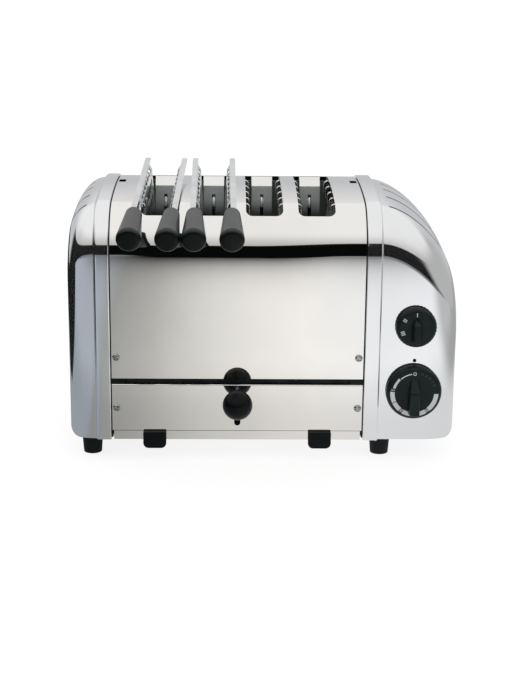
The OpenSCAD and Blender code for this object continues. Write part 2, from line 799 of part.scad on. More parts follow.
// Guard of one slot: on each side two end strips, two long wires and a row of uprights that
// spread outwards at the top. The wires are square.
module wire_guard(i) {
    w = guard_wire_d;
    wire_x = guard_gap / 2;
    long_x = wire_x + w / 2;
    strip_w = long_x + w + fit_gap - tongue_w / 2;
    foot_z = guard_z + guard_foot;
    bend_z = tongue_top - guard_bend_below;
    flare_z = bend_z + guard_flare_h;
    front_h = tongue_top - guard_top_gap - guard_z;
    rear_h = shoulder_top - sheet_t - guard_top_gap - guard_z;
    color("lightslategray") for (s = [-1, 1])
        translate([slot_x(i), 0, 0]) mirror([s < 0 ? 1 : 0, 0, 0]) {
            translate([tongue_w / 2, chamber_y0, guard_z]) cube([strip_w, plate_t, front_h]);
            translate([tongue_w / 2, chamber_y1 - plate_t, guard_z]) cube([strip_w, plate_t, rear_h]);
            for (z = [guard_z + guard_tie, bend_z - guard_tie])
                translate([long_x, chamber_y0 + plate_t / 2, z]) cube([w, chamber_l - plate_t, w]);
            for (k = [1 : guard_wire_n])
                translate([wire_x, chamber_y0 + chamber_l * k / (guard_wire_n + 1) + w / 2, 0])
                    rotate([90, 0, 0]) linear_extrude(w) polygon([
                        [0, foot_z], [w, foot_z], [w, bend_z], [w + guard_flare, flare_z],
                        [guard_flare, flare_z], [0, bend_z]]);
        }
}

module bread_rack(i) {
    y0 = front_bar_y - lift_bar_w / 2 + rack_leg_in;
    y1 = rear_bar_y + lift_bar_w / 2 - rack_leg_in;
    leg_l = lift_bar_w - 2 * rack_leg_in;
    wire_z = rack_top - rack_wire_d / 2 - rack_wire_sink;
    color("lightsteelblue") translate([slot_x(i), 0, 0]) {
        translate([-rack_t / 2, y0, rack_z]) cube([rack_t, y1 - y0, rack_h]);
        for (y = [y0, y1 - leg_l]) translate([-rack_t / 2, y, lift_bar_top])
            cube([rack_t, leg_l, rack_leg_h + cut]);
        for (k = [1 : rack_wire_n])
            translate([-rack_wire_l / 2, chamber_y0 + chamber_l * k / (rack_wire_n + 1), wire_z])
                rod_x(rack_wire_d, rack_wire_l);
    }
}

// Lift bar at y with a guide bush at each end
module lift_bar(y) {
    x0 = cover_x0 + rod_in;
    x1 = cover_x1 - rod_in;
    bush_d = rod_d + 2 * bush_wall;
    color("slategray") difference() {
        union() {
            translate([x0, y - lift_bar_w / 2, lift_bar_z]) cube([x1 - x0, lift_bar_w, lift_bar_h]);
            for (x = [x0, x1]) translate([x, y, lift_bar_z]) cylinder(d = bush_d, h = lift_bar_h);
        }
        for (x = [x0, x1]) translate([x, y, lift_bar_z - cut])
            cylinder(d = rod_d + 2 * rod_run, h = lift_bar_h + 2 * cut);
    }
}

module lift_bar_front() {
    lift_bar(front_bar_y);
}

module lift_bar_rear() {
    lift_bar(rear_bar_y);
}

module lift_guide_rods() {
    color("whitesmoke") for (x = [cover_x0 + rod_in, cover_x1 - rod_in], y = [front_bar_y, rear_bar_y])
        translate([x, y, chamber_z]) cylinder(d = rod_d, h = rod_top - chamber_z);
}

module lever_arm() {
    color("darkslategray") difference() {
        union() {
            translate([cover_cx - hub_w / 2, pivot_y, lever_z]) rod_x(hub_d, hub_w);
            translate([cover_cx, ball_bore_y, lever_z]) rod_y(lever_rod_d, pivot_y - ball_bore_y);
            translate([cover_cx - lever_bar_w / 2, pivot_y, lever_z - lever_bar_h / 2])
                cube([lever_bar_w, lever_rear_l, lever_bar_h]);
            translate([cover_cx - lever_bar_w / 2, rear_bar_y, lever_z]) rod_x(lever_bar_h, lever_bar_w);
        }
        translate([cover_cx - hub_w, pivot_y, lever_z]) rod_x(pivot_d + 2 * pin_fit, 2 * hub_w);
    }
}

module lever_ball() {
    color([0.1, 0.13, 0.13]) difference() {
        translate([cover_cx, ball_y, lever_z]) sphere(d = ball_d);
        translate([cover_cx, ball_bore_y, lever_z]) rod_y(lever_rod_d + 2 * pin_fit, ball_d);
    }
}

module lever_pivot_pin() {
    span = hub_w + 2 * pivot_ear_gap + 2 * pivot_ear_t;
    color("whitesmoke") translate([cover_cx - span / 2, pivot_y, lever_z]) {
        rod_x(pivot_d, span);
        for (x = [-pivot_head_t, span]) translate([x, 0, 0])
            rod_x(pivot_d + 2 * pivot_head_over, pivot_head_t);
    }
}

// Channel between the heat shields with two ears for the lever's pin
module lever_cross_beam() {
    ear_x = hub_w / 2 + pivot_ear_gap;
    ear_l = pivot_d + 2 * pivot_ear_wall;
    color("dimgray") difference() {
        union() {
            translate([shield_x0, pivot_y - beam_d / 2, beam_top - beam_h])
                cube([shield_x1 - shield_x0, beam_d, beam_h]);
            for (x = [-ear_x - pivot_ear_t, ear_x])
                translate([cover_cx + x, pivot_y - ear_l / 2, beam_top - beam_t])
                    cube([pivot_ear_t, ear_l, lever_z + ear_l / 2 - beam_top + beam_t]);
        }
        translate([shield_x0 - cut, pivot_y - beam_d / 2 + beam_t, beam_top - beam_h - cut])
            cube([shield_x1 - shield_x0 + 2 * cut, beam_d - 2 * beam_t, beam_h - beam_t + cut]);
        translate([cover_cx - 2 * hub_w, pivot_y, lever_z]) rod_x(pivot_d + 2 * pin_fit, 4 * hub_w);
    }
}

// Case behind the casting wall, with a seat pad and a threaded neck that the spindle turns in
module control_body(z, side) {
    case_y = wall_in_y + case_pad;
    difference() {
        union() {
            translate([dial_x - side / 2, case_y, z - side / 2]) cube([side, case_depth, side]);
            translate([dial_x, wall_in_y + pad_gap, z])
                rod_y(neck_d + 2 * pad_over, case_pad - pad_gap + cut);
            translate([dial_x, wall_y - neck_end, z]) rod_y(neck_d, casting_t + case_pad + neck_end);
        }
        translate([dial_x, wall_y - neck_end - cut, z])
            rod_y(spindle_d + 2 * pin_fit, casting_t + case_pad + neck_end + case_depth / 2 + cut);
    }
}

module control_spindle(z) {
    y0 = dial_back_y - dial_bore_l;
    y1 = wall_in_y + case_pad + case_depth / 2;
    color("goldenrod") translate([dial_x, y0, z]) rod_y(spindle_d, y1 - y0);
}

module timer_body() {
    color("darkkhaki") control_body(timer_z, timer_case);
}

module timer_spindle() {
    control_spindle(timer_z);
}

module selector_body() {
    color("darkkhaki") control_body(selector_z, switch_case);
}

module selector_spindle() {
    control_spindle(selector_z);
}

// Dial with a raised grip across it, bored for its spindle: the grip falls away towards its upper end
module dial_knob(z, d) {
    grip_l = d - 2 * grip_in;
    low_h = grip_h * grip_fall;
    color([0.1, 0.13, 0.13]) translate([dial_x, dial_back_y, z]) rotate([90, 0, 0]) difference() {
        union() {
            rotate_extrude($fn = 96) polygon([
                [0, 0], [d / 2, 0], [d / 2, dial_t - dial_bevel], [d / 2 - dial_bevel, dial_t], [0, dial_t]]);
            intersection() {
                translate([-grip_w / 2, 0, 0]) rotate([90, 0, 90]) linear_extrude(grip_w) polygon([
                    [-grip_l / 2, dial_t - cut], [grip_l / 2, dial_t - cut], [grip_l / 2, dial_t + low_h],
                    [0, dial_t + grip_h], [-grip_l / 2, dial_t + grip_h]]);
                cylinder(d = grip_l, h = dial_t + grip_h + cut, $fn = 96);
            }
        }
        translate([0, 0, -cut]) cylinder(d = spindle_d + 2 * pin_fit, h = dial_bore_l + cut);
    }
}

module timer_knob() {
    dial_knob(timer_z, timer_d);
}

module selector_knob() {
    dial_knob(selector_z, selector_d);
}

module crumb_tray() {
    x0 = cover_x0 + tray_side_gap;
    w = cover_w - 2 * tray_side_gap;
    pan_x = x0 + pan_in;
    pan_w = w - 2 * pan_in;
    pan_y = front_y + sheet_t / 2;
    pan_l = body_d - 2 * sheet_t - pan_rear_gap;
    pan_z = base_top + tray_run;
    color("silver") {
        translate([x0, front_y, base_z]) cube([w, sheet_t, tray_front_h]);
        translate([pan_x, pan_y, pan_z]) cube([pan_w, pan_l, pan_t]);
        for (x = [pan_x, pan_x + pan_w - pan_t]) translate([x, pan_y, pan_z])
            cube([pan_t, pan_l, tray_wall_h]);
        translate([pan_x, pan_y + pan_l - pan_t, pan_z]) cube([pan_w, pan_t, tray_wall_h]);
    }
}

// Pull tab with a rounded lower edge, on the tray's front strip
module tray_tab(x) {
    color([0.1, 0.13, 0.13]) translate([x, front_y, base_z + tray_front_h - tab_h])
        rotate([90, 0, 0]) linear_extrude(tab_t) {
            translate([-tab_w / 2, tab_r]) square([tab_w, tab_h - tab_r]);
            translate([-tab_w / 2 + tab_r, 0]) square([tab_w - 2 * tab_r, tab_h]);
            for (s = [-1, 1]) translate([s * (tab_w / 2 - tab_r), tab_r]) circle(tab_r);
        }
}

module tray_tab_left() {
    tray_tab(cover_cx - tab_x);
}

module tray_tab_right() {
    tray_tab(cover_cx + tab_x);
}

module foot(k) {
    color([0.12, 0.12, 0.12]) translate([foot_places[k][0], foot_places[k][1], 0]) difference() {
        cylinder(d1 = foot_tip_d, d2 = foot_d, h = foot_h);
        translate([0, 0, -cut]) cylinder(d = foot_screw_d + 2 * pin_fit, h = foot_h + 2 * cut);
        translate([0, 0, -cut]) cylinder(d = foot_head_d + 2 * fit_gap, h = foot_sink + cut);
    }
}

module foot_screws() {
    color("whitesmoke") for (p = foot_places) translate([p[0], p[1], foot_sink]) {
        cylinder(d = foot_screw_d, h = base_top + foot_screw_over - foot_sink);
        translate([0, 0, -foot_head_h]) cylinder(d = foot_head_d, h = foot_head_h);
    }
}

module panel_screws() {
    l = sheet_t + plate_t + screw_over;
    color("whitesmoke") for (p = panel_screw_places) {
        translate([p[0], front_y, p[1]]) rotate([-90, 0, 0]) small_screw(l);
        translate([p[0], rear_y, p[1]]) rotate([90, 0, 0]) small_screw(l);
    }
}

module shield_screws() {
    l = plate_t + ledge_t;
    color("whitesmoke") for (p = shield_screw_places) {
        translate([shield_x0, p[0], p[1]]) rotate([0, -90, 0]) small_screw(l);
        translate([shield_x1, p[0], p[1]]) rotate([0, 90, 0]) small_screw(l);
    }
}

module side_screws() {
    l = bottom_r + base_t + screw_over;
    color("whitesmoke") for (y = side_screw_places) {
        translate([left_x, y, side_screw_z]) rotate([0, 90, 0]) small_screw(l);
        translate([right_x, y, side_screw_z]) rotate([0, -90, 0]) small_screw(l);
    }
}

module cord_gland() {
    barrel_l = casting_t + gland_in;
    wall = rear_y - dome_inset;
    color([0.12, 0.12, 0.12]) translate([dial_x, wall, gland_z]) difference() {
        union() {
            translate([0, -barrel_l, 0]) rod_y(gland_d, barrel_l + cut);
            rod_y(gland_d + 2 * gland_collar_over, gland_collar_t);
        }
        translate([0, -barrel_l - cut, 0]) rod_y(gland_bore, barrel_l + gland_collar_t + 2 * cut);
    }
}

// Places a cage's own frame, with its hinge along Y through the origin, in its slot
module cage_frame(i) {
    turn = i == 1 ? cage_turn : -cage_turn_2;
    shift = i == 1 ? cage_shift : -cage_shift_2;
    translate([slot_x(i) - shift, cage_y, cage_pin_z])
        rotate([0, 0, -turn]) rotate([cage_dip, 0, 0]) children();
}

// Frame of one cage half, leaning to its side: s is -1 on the left and 1 on the right
module cage_side(s) {
    mirror([s < 0 ? 1 : 0, 0, 0]) rotate([0, cage_lean, 0]) children();
}

// Frame of a handle: it starts in front of the flange and runs along +Z here
module handle_frame() {
    translate([handle_off, -cage_l / 2 - flange_front, cage_h - cage_t / 2])
        rotate([handle_droop, 0, 0]) rotate([90, 0, 0]) children();
}

// Perforated plate up to the height top, with its columns of holes at the places ys
module perforated_plate(top, ys) {
    rows = floor((top - hole_top) / hole_pitch_z);
    rotate([90, 0, 90]) linear_extrude(cage_t) difference() {
        translate([-cage_l / 2, -plate_below]) square([cage_l, top + plate_below]);
        for (y = ys, r = [0 : rows - 1])
            translate([y, top - hole_top - (r + 0.5) * hole_pitch_z]) square([hole_w, hole_h], center = true);
    }
}

// Band that slopes out from the plate's top to the flange, with a window over each column of holes
module sloped_band(low, ys) {
    flange_x = cage_off + band_w;
    lap_x = flange_x + band_lap;
    under = cage_h - cage_t;
    difference() {
        translate([0, cage_l / 2, 0]) rotate([90, 0, 0]) linear_extrude(cage_l) polygon([
            [cage_off, low], [cage_off + cage_t, low], [flange_x + cage_t, under],
            [lap_x, under], [lap_x, cage_h], [flange_x, cage_h]]);
        for (y = ys) translate([cage_off - cut, y - hole_w / 2, low + band_edge])
            cube([band_w + cage_t + 2 * cut, hole_w, under - low - 2 * band_edge]);
    }
}

// Flange along the plate's top, with a round rear end
module cage_flange() {
    l = cage_l + flange_front + flange_rear;
    r = flange_w / 2;
    translate([cage_off + band_w, -cage_l / 2 - flange_front, cage_h - cage_t]) linear_extrude(cage_t) {
        square([flange_w, l - r]);
        translate([r, l - r]) circle(r);
    }
}

// Half of a cage: plate, sloped band, top flange, tang and two hinge knuckles
module cage_grid(i, s) {
    knuckle_y = cage_l / 2 - knuckle_end - (s < 0 ? 0 : knuckle_l + knuckle_gap) - knuckle_l / 2;
    plate_top = cage_h - band_h;
    cols = floor((cage_l - 2 * hole_end) / hole_pitch_y);
    column_ys = [for (c = [0 : cols - 1]) (c - (cols - 1) / 2) * hole_pitch_y];
    color("gainsboro") cage_frame(i) difference() {
        union() {
            cage_side(s) {
                translate([cage_off, 0, 0]) perforated_plate(plate_top, column_ys);
                sloped_band(plate_top, column_ys);
                cage_flange();
                handle_frame() translate([-tang_w / 2, -cage_t / 2, -tang_lap])
                    cube([tang_w, cage_t, tang_l + tang_lap]);
            }
            for (y = [-knuckle_y, knuckle_y]) translate([0, y - knuckle_l / 2, 0]) {
                rod_y(2 * knuckle_r, knuckle_l);
                mirror([s < 0 ? 1 : 0, 0, 0]) translate([0, 0, -lug_t / 2])
                    cube([cage_off + cage_t / 2, knuckle_l, lug_t]);
            }
        }
        translate([0, -cage_l / 2 - cut, 0]) rod_y(hinge_pin_d + 2 * pin_fit, cage_l + 2 * cut);
    }
}

module cage_handle(i, s) {
    tip_r = handle_tip_r;
    r1 = handle_d1 / 2;
    r2 = handle_d2 / 2;
    color([0.13, 0.15, 0.15]) cage_frame(i) cage_side(s) handle_frame() difference() {
        translate([0, 0, fit_gap]) rotate_extrude() {
            polygon([[0, 0], [r1, 0], [r2, handle_l - tip_r], [r2 - tip_r, handle_l], [0, handle_l]]);
            translate([r2 - tip_r, handle_l - tip_r]) circle(tip_r);
        }
        translate([-tang_w / 2 - tang_gap, -cage_t / 2 - tang_gap, -cut])
            cube([tang_w + 2 * tang_gap, cage_t + 2 * tang_gap, tang_l + tang_gap + cut]);
    }
}

module cage_hinge_pin(i) {
    l = cage_l - 2 * knuckle_end + 2 * hinge_pin_over;
    color("whitesmoke") cage_frame(i) translate([0, -l / 2, 0]) rod_y(hinge_pin_d, l);
}

base_plate();
left_end_casting();
right_end_casting();
top_cover();
lower_front_panel();
lower_rear_panel();
left_heat_shield();
right_heat_shield();
front_chamber_plate();
rear_chamber_plate();
element_board(1);  // element_board_1
element_board(2);  // element_board_2
element_board(3);  // element_board_3
element_board(4);  // element_board_4
element_board(5);  // element_board_5
heating_ribbons();
wire_guard(1);  // wire_guard_1
wire_guard(2);  // wire_guard_2
wire_guard(3);  // wire_guard_3
wire_guard(4);  // wire_guard_4
bread_rack(1);  // bread_rack_1
bread_rack(2);  // bread_rack_2
bread_rack(3);  // bread_rack_3
bread_rack(4);  // bread_rack_4
lift_bar_front();
lift_bar_rear();
lift_guide_rods();
lever_arm();
lever_ball();
lever_pivot_pin();
lever_cross_beam();
timer_body();
timer_spindle();
timer_knob();
selector_body();
selector_spindle();
selector_knob();
crumb_tray();
tray_tab_left();
tray_tab_right();
foot(0);  // foot_front_left
foot(1);  // foot_front_right
foot(2);  // foot_rear_left
foot(3);  // foot_rear_right
foot_screws();
panel_screws();
shield_screws();
side_screws();
cord_gland();
cage_grid(1, -1);  // cage_1_left_grid
cage_grid(1, 1);  // cage_1_right_grid
cage_handle(1, -1);  // cage_1_left_handle
cage_handle(1, 1);  // cage_1_right_handle
cage_hinge_pin(1);  // cage_1_hinge_pin
cage_grid(2, -1);  // cage_2_left_grid
cage_grid(2, 1);  // cage_2_right_grid
cage_handle(2, -1);  // cage_2_left_handle
cage_handle(2, 1);  // cage_2_right_handle
cage_hinge_pin(2);  // cage_2_hinge_pin
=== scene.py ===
from math import asin, atan, cos, pi, radians, sin, sqrt, tan

import bmesh
import bpy
from mathutils import Matrix, Vector


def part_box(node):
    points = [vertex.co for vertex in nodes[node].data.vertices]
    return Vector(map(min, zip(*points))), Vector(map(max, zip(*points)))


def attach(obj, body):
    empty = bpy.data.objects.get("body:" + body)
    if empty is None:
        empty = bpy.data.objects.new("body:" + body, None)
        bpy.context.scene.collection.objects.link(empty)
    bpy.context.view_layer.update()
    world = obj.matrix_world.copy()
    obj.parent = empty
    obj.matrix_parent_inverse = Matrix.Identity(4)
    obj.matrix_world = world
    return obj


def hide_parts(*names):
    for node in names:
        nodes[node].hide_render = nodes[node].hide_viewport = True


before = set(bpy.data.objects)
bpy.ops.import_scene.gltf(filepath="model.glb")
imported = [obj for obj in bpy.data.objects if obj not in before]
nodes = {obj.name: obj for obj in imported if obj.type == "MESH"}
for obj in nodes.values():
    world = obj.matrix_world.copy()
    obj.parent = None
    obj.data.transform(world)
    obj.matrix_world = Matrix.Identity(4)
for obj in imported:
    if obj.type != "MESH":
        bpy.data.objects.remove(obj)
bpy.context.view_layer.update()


# The camera stands a metre and a half in front of the toaster, above it and a touch to the left.
# It looks down on the four slots and turns slightly to the control end.
MM = 0.001
camera_at, focal_length = Vector((-30.37, -1463.13, 527.5)) * MM, 81.406
look_yaw, look_down, look_roll = radians(1.22), radians(16.74), radians(0.61)
ahead = Vector((sin(look_yaw) * cos(look_down), cos(look_yaw) * cos(look_down), -sin(look_down)))
level = Vector((cos(look_yaw), -sin(look_yaw), 0))
lift = level.cross(ahead)
across = level * cos(look_roll) + lift * sin(look_roll)
upright = lift * cos(look_roll) - level * sin(look_roll)
camera = bpy.data.objects.new("camera", bpy.data.cameras.new("camera"))
bpy.context.scene.collection.objects.link(camera)
camera.data.lens = focal_length
camera_turn = Matrix((across, upright, -ahead)).transposed()
camera.matrix_world = Matrix.LocRotScale(camera_at, camera_turn, None)
bpy.context.scene.camera = camera
bpy.context.scene.view_settings.view_transform = "Standard"


# The table is a pale sheet in a white studio. Metal sees it as a painted glow: a painted reflection
# of a table lit from the right, a painted shadow near the toaster, and painted darkness where it
# seems to end in front and on its left. A bright sky over a horizon that is dark in front and on
# the left gives the polished metal its black band and its pale panels.
class Wire:
    """An output socket that takes part in Python sums."""

    def __init__(self, finish, socket):
        self.finish, self.socket = finish, socket

    def sum(self, operation, first, second):
        return self.finish.add("Math", {"operation": operation}, {0: first, 1: second})["Value"]

    def __add__(self, other):
        return self.sum("ADD", self, other)

    def __radd__(self, other):
        return self.sum("ADD", other, self)

    def __sub__(self, other):
        return self.sum("SUBTRACT", self, other)

    def __rsub__(self, other):
        return self.sum("SUBTRACT", other, self)

    def __mul__(self, other):
        return self.sum("MULTIPLY", self, other)

    def __rmul__(self, other):
        return self.sum("MULTIPLY", other, self)

    def __pow__(self, other):
        return self.sum("POWER", self, other)

    def __rpow__(self, other):
        return self.sum("POWER", other, self)

    def __gt__(self, other):
        return self.sum("GREATER_THAN", self, other)

    def __lt__(self, other):
        return self.sum("LESS_THAN", self, other)

    def at_least(self, floor):
        return self.sum("MAXIMUM", self, floor)

    def at_most(self, ceiling):
        return self.sum("MINIMUM", self, ceiling)


class Finish:
    """The nodes of one finish, on a material or on the world."""

    def __init__(self, owner):
        owner.use_nodes = True
        self.owner, self.tree = owner, owner.node_tree
        self.tree.nodes.clear()

    def add(self, kind, settings=None, sockets=None):
        node = self.tree.nodes.new("ShaderNode" + kind)
        for name, value in (settings or {}).items():
            if name == "stops":
                ends = node.color_ramp.elements
                ends[0].position, ends[1].position = value[0][0], value[-1][0]
                ends[0].color, ends[1].color = (*value[0][1], 1), (*value[-1][1], 1)
                for place, colour in value[1:-1]:
                    ends.new(place).color = (*colour, 1)
            else:
                setattr(node, name, value)
        for name, value in (sockets or {}).items():
            if isinstance(name, int):
                socket = node.inputs[name]
            else:
                socket = next(s for s in node.inputs if s.enabled and s.name == name)
            if isinstance(value, Wire):
                self.tree.links.new(value.socket, socket)
            else:
                socket.default_value = value
        return {s.name: Wire(self, s) for s in node.outputs if s.enabled}

    def ramp(self, value, low, high, to_low=0.0, to_high=1.0):
        """A soft step from to_low to to_high while the value goes from low to high."""
        step = self.add("MapRange", {"interpolation_type": "SMOOTHSTEP"}, {
            "Value": value, "From Min": low, "From Max": high, "To Min": to_low, "To Max": to_high})
        return step["Result"]

    def tint(self, share, first, second):
        """A colour between two colours, which are wires or triples."""
        ends = [c if isinstance(c, Wire) else (*c, 1) for c in (first, second)]
        mix = self.add("Mix", {"data_type": "RGBA"}, {"Factor": share, "A": ends[0], "B": ends[1]})
        return mix["Result"]


sky = Finish(bpy.data.worlds.new("studio"))
bpy.context.scene.world = sky.owner
aim = sky.add("SeparateXYZ", {}, {0: sky.add("TexCoord")["Generated"]})
ray = sky.add("LightPath")
pale_sky, dusk = (0.90, 0.895, 0.885), (0.0024, 0.0027, 0.0028)
before = sky.tint(sky.ramp(aim["Z"], 0.27, 0.77), (0.53, 0.52, 0.51), pale_sky)
after = sky.tint(sky.ramp(aim["Z"], 0.10, 0.60), (0.55, 0.56, 0.575), pale_sky)
open_sky = sky.tint(sky.ramp(aim["Y"], -0.10, 0.30), before, after)
right_wall = sky.ramp(aim["X"], 0.45, 0.80) * (1 - sky.ramp(aim["Z"], 0.35, 0.60))
walls = sky.tint(right_wall, open_sky, (0.47, 0.47, 0.465))
horizon, clear_above, right_rise = sin(radians(15.0)), sin(radians(16.6)), 0.113
height = aim["Z"] - sky.ramp(aim["X"], 0.015, 0.08, 0.0, right_rise)
low = 1 - sky.ramp(height, horizon, clear_above)
dark_ahead = (1 - sky.ramp(aim["Y"], 0.35, 0.65)) * (1 - sky.ramp(aim["X"], 0.50, 0.80))
around = sky.tint(low * dark_ahead, walls, dusk)
studio = sky.tint(ray["Is Camera Ray"], around, (1.0, 1.0, 1.0))
sky.add("OutputWorld", {}, {"Surface": sky.add("Background", {}, {"Color": studio})["Background"]})

bpy.ops.object.select_all(action="DESELECT")
bpy.ops.mesh.primitive_grid_add(size=1, x_subdivisions=8, y_subdivisions=8)
table = bpy.context.object
table.name = "table"
table_lo, table_hi = Vector((-1200, -1600, 0)) * MM, Vector((1500, 1500, 0)) * MM
for v in table.data.vertices:
    v.co = Vector((
        table_lo.x + (v.co.x + 0.5) * (table_hi.x - table_lo.x),
        table_lo.y + (v.co.y + 0.5) * (table_hi.y - table_lo.y),
        0))
tabletop = Finish(bpy.data.materials.new("pale_table"))
ray = tabletop.add("LightPath")
spot = tabletop.add("SeparateXYZ", {}, {0: tabletop.add("TexCoord")["Object"]})
along = tabletop.ramp(spot["X"], -0.36, 0.36)
# Painted reflection: the tone that metal sees in the table, graded as if lit from the right.
painted_reflection = tabletop.add("ValToRGB", {"stops": [
    (0.0, (0.42, 0.455, 0.505)),
    (0.11, (0.42, 0.455, 0.505)),
    (0.16, (0.36, 0.365, 0.36)),
    (0.25, (0.51, 0.505, 0.49)),
    (0.30, (0.62, 0.61, 0.59)),
    (0.41, (0.82, 0.81, 0.78)),
    (0.52, (0.93, 0.91, 0.88)),
    (0.62, (1.0, 0.98, 0.95)),
    (0.75, (0.97, 0.975, 0.985)),
    (1.0, (0.93, 0.935, 0.95))]}, {"Fac": along})["Color"]
painted_reflection = tabletop.tint(tabletop.ramp(spot["X"], 0.34, 0.50), painted_reflection, (0.52, 0.52, 0.52))
# Painted darkness where the table seems to end: in front and on the left its glow falls to dusk.
right_side = tabletop.ramp(spot["X"], 0.03, 0.12)
left_side = tabletop.ramp(spot["X"], -0.13, -0.24)
far_edge = -0.95 - 0.60 * (tabletop.ramp(spot["X"], 0.06, 0.20) + left_side)
half_lit = (0.25 * right_side + 0.45 * left_side) * (spot["Y"] > far_edge)
near_y, halvings_per_m, left_slant = -0.885, 20, 0.9
fade = 0.5 ** (halvings_per_m * (spot["Y"] - near_y)).at_least(0.0)
left_edge = tabletop.ramp(spot["X"] - left_slant * spot["Y"].at_most(0.0), -0.42, -0.38)
near_edge = left_edge * (1 - (1 - half_lit) * fade)
# Painted shadow: the glow is darker close to the toaster.
painted_shadow_near = tabletop.ramp(spot["Y"], -0.40, -0.15, 1.0, 0.75)
painted_reflection = tabletop.tint(near_edge * painted_shadow_near, dusk, painted_reflection)
matt = tabletop.add("BsdfDiffuse", {}, {"Color": (0.80, 0.80, 0.80, 1)})["BSDF"]
shadow = tabletop.add("BsdfDiffuse", {}, {"Color": (0.26, 0.26, 0.26, 1)})["BSDF"]
glow = tabletop.add("Emission", {}, {"Color": (0.84, 0.84, 0.84, 1), "Strength": 1.0})["Emission"]
shown = tabletop.add("AddShader", {}, {0: shadow, 1: glow})["Shader"]
# Glossy rays see this painted glow. The camera sees a near-white sheet with its real shadow.
pale = tabletop.add("Emission", {}, {"Color": painted_reflection})["Emission"]
unseen = tabletop.add("MixShader", {}, {0: ray["Is Glossy Ray"], 1: matt, 2: pale})["Shader"]
tabletop.add("OutputMaterial", {}, {
    "Surface": tabletop.add("MixShader", {}, {0: ray["Is Camera Ray"], 1: unseen, 2: shown})["Shader"]})
table.data.materials.append(tabletop.owner)


# The base plate is folded from zinc-coated steel sheet, and the feet are screwed through it.
# It carries the end castings and the lever's cross beam, and the crumb tray slides on it.
def metal(name, tint, dark, rough, spread, scale, grain, metallic=1.0):
    """Bare metal with cloudy patches and a fine grain along X."""
    coat = Finish(bpy.data.materials.new(name))
    where = coat.add("TexCoord")["Object"]
    cloud = coat.add("TexNoise", {}, {"Vector": where, "Scale": scale, "Detail": 4.0})["Fac"]
    combed = coat.add("Mapping", {}, {"Vector": where, "Scale": (30.0, 900.0, 900.0)})["Vector"]
    line = coat.add("TexNoise", {}, {"Vector": combed, "Scale": 1.0, "Detail": 2.0})["Fac"]
    coat.add("OutputMaterial", {}, {"Surface": coat.add("BsdfPrincipled", {}, {
        "Base Color": coat.tint(coat.ramp(cloud, 0.3, 0.7), dark, tint),
        "Metallic": metallic,
        "Roughness": rough + spread * cloud + grain * (line - 0.5)})["BSDF"]})
    return coat.owner


def dress(finish, *names):
    """Gives a material to nodes that show with the shape they have."""
    for name in names:
        nodes[name].data.materials.clear()
        nodes[name].data.materials.append(finish)


zinc = metal(
    "zinc_coated_steel", (0.58, 0.60, 0.60), (0.44, 0.46, 0.46),
    rough=0.30, spread=0.12, scale=60.0, grain=0.10)
dress(zinc, "base_plate", "lever_cross_beam")


# A heat shield closes the chamber at each end, behind the castings. It is thin steel, painted
# nearly black as the painted shade that shows in the seams beside the castings, and the cover and
# the panels are screwed to its flanges.
painted_shade_steel = metal(
    "painted_shade_black_steel", (0.040, 0.044, 0.044), (0.022, 0.025, 0.025),
    rough=0.45, spread=0.12, scale=60.0, grain=0.05)
dress(painted_shade_steel, "left_heat_shield", "right_heat_shield")


# The two end castings are die-cast aluminium shells, polished by hand, with a raised rim at the
# cover and five vent slits over their domes. Screws hold them to the heat shields and the base.
cover_lo, cover_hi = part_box("top_cover")
cover_x0, cover_x1 = cover_lo.x / MM, cover_hi.x / MM
mid_y = (cover_lo.y + cover_hi.y) / 2 / MM
body_d, shoulder_top, shoulder_r, base_z, crown_h = 210, 238, 44, 19.5, 3.2
crown_a = 2 * atan(crown_h / (body_d / 2 - shoulder_r))
rim_w, rim_proud, dome_inset, casting_t, seam_gap, seam_face = 14, 1.5, 2, 3, 0.4, 8.8
wall_draw, hem_l = 14, 10
slit_pitch, slit_w, slit_z0, slit_z1, slit_from_rim, slit_past_end = 33, 3, 112, 250, 8, 5


def pick(piece, test, kind="faces"):
    """Selects the faces, edges or verts of a mesh in edit mode that pass a test, and nothing else."""
    bpy.ops.mesh.select_all(action="DESELECT")
    shape = bmesh.from_edit_mesh(piece.data)
    for part in getattr(shape, kind):
        if test(part):
            part.select_set(True)
    bmesh.update_edit_mesh(piece.data)


def sweep(name, rings, closed=False, capped=False):
    """Draws the first ring from one point, then extrudes it from ring to ring over the form."""
    rings = [[Vector(p) * MM for p in ring] for ring in rings]
    bpy.ops.object.select_all(action="DESELECT")
    bpy.ops.mesh.primitive_plane_add(size=MM)
    piece = bpy.context.object
    piece.name = piece.data.name = name
    bpy.ops.object.mode_set(mode="EDIT")
    bpy.ops.mesh.merge(type="CENTER")
    bpy.ops.transform.translate(value=rings[0][0])
    for a, b in zip(rings[0], rings[0][1:]):
        bpy.ops.mesh.extrude_region_move(TRANSFORM_OT_translate={"value": b - a})
    if closed:
        pick(piece, lambda v: len(v.link_edges) == 1, "verts")
        bpy.ops.mesh.edge_face_add()
    shape = bmesh.from_edit_mesh(piece.data)
    for v in shape.verts:
        v.co = min(rings[0], key=lambda p: (p - v.co).length)
    bmesh.update_edit_mesh(piece.data)
    bpy.ops.mesh.select_all(action="SELECT")
    for last, ring in zip(rings, rings[1:]):
        bpy.ops.mesh.extrude_region_move()
        place = {tuple(p): q for p, q in zip(last, ring)}
        shape = bmesh.from_edit_mesh(piece.data)
        for v in shape.verts:
            if v.select:
                v.co = place[tuple(v.co)]
        bmesh.update_edit_mesh(piece.data)
    if capped:
        bpy.ops.mesh.edge_face_add()
    bpy.ops.mesh.select_all(action="SELECT")
    bpy.ops.mesh.normals_make_consistent(inside=False)
    return piece


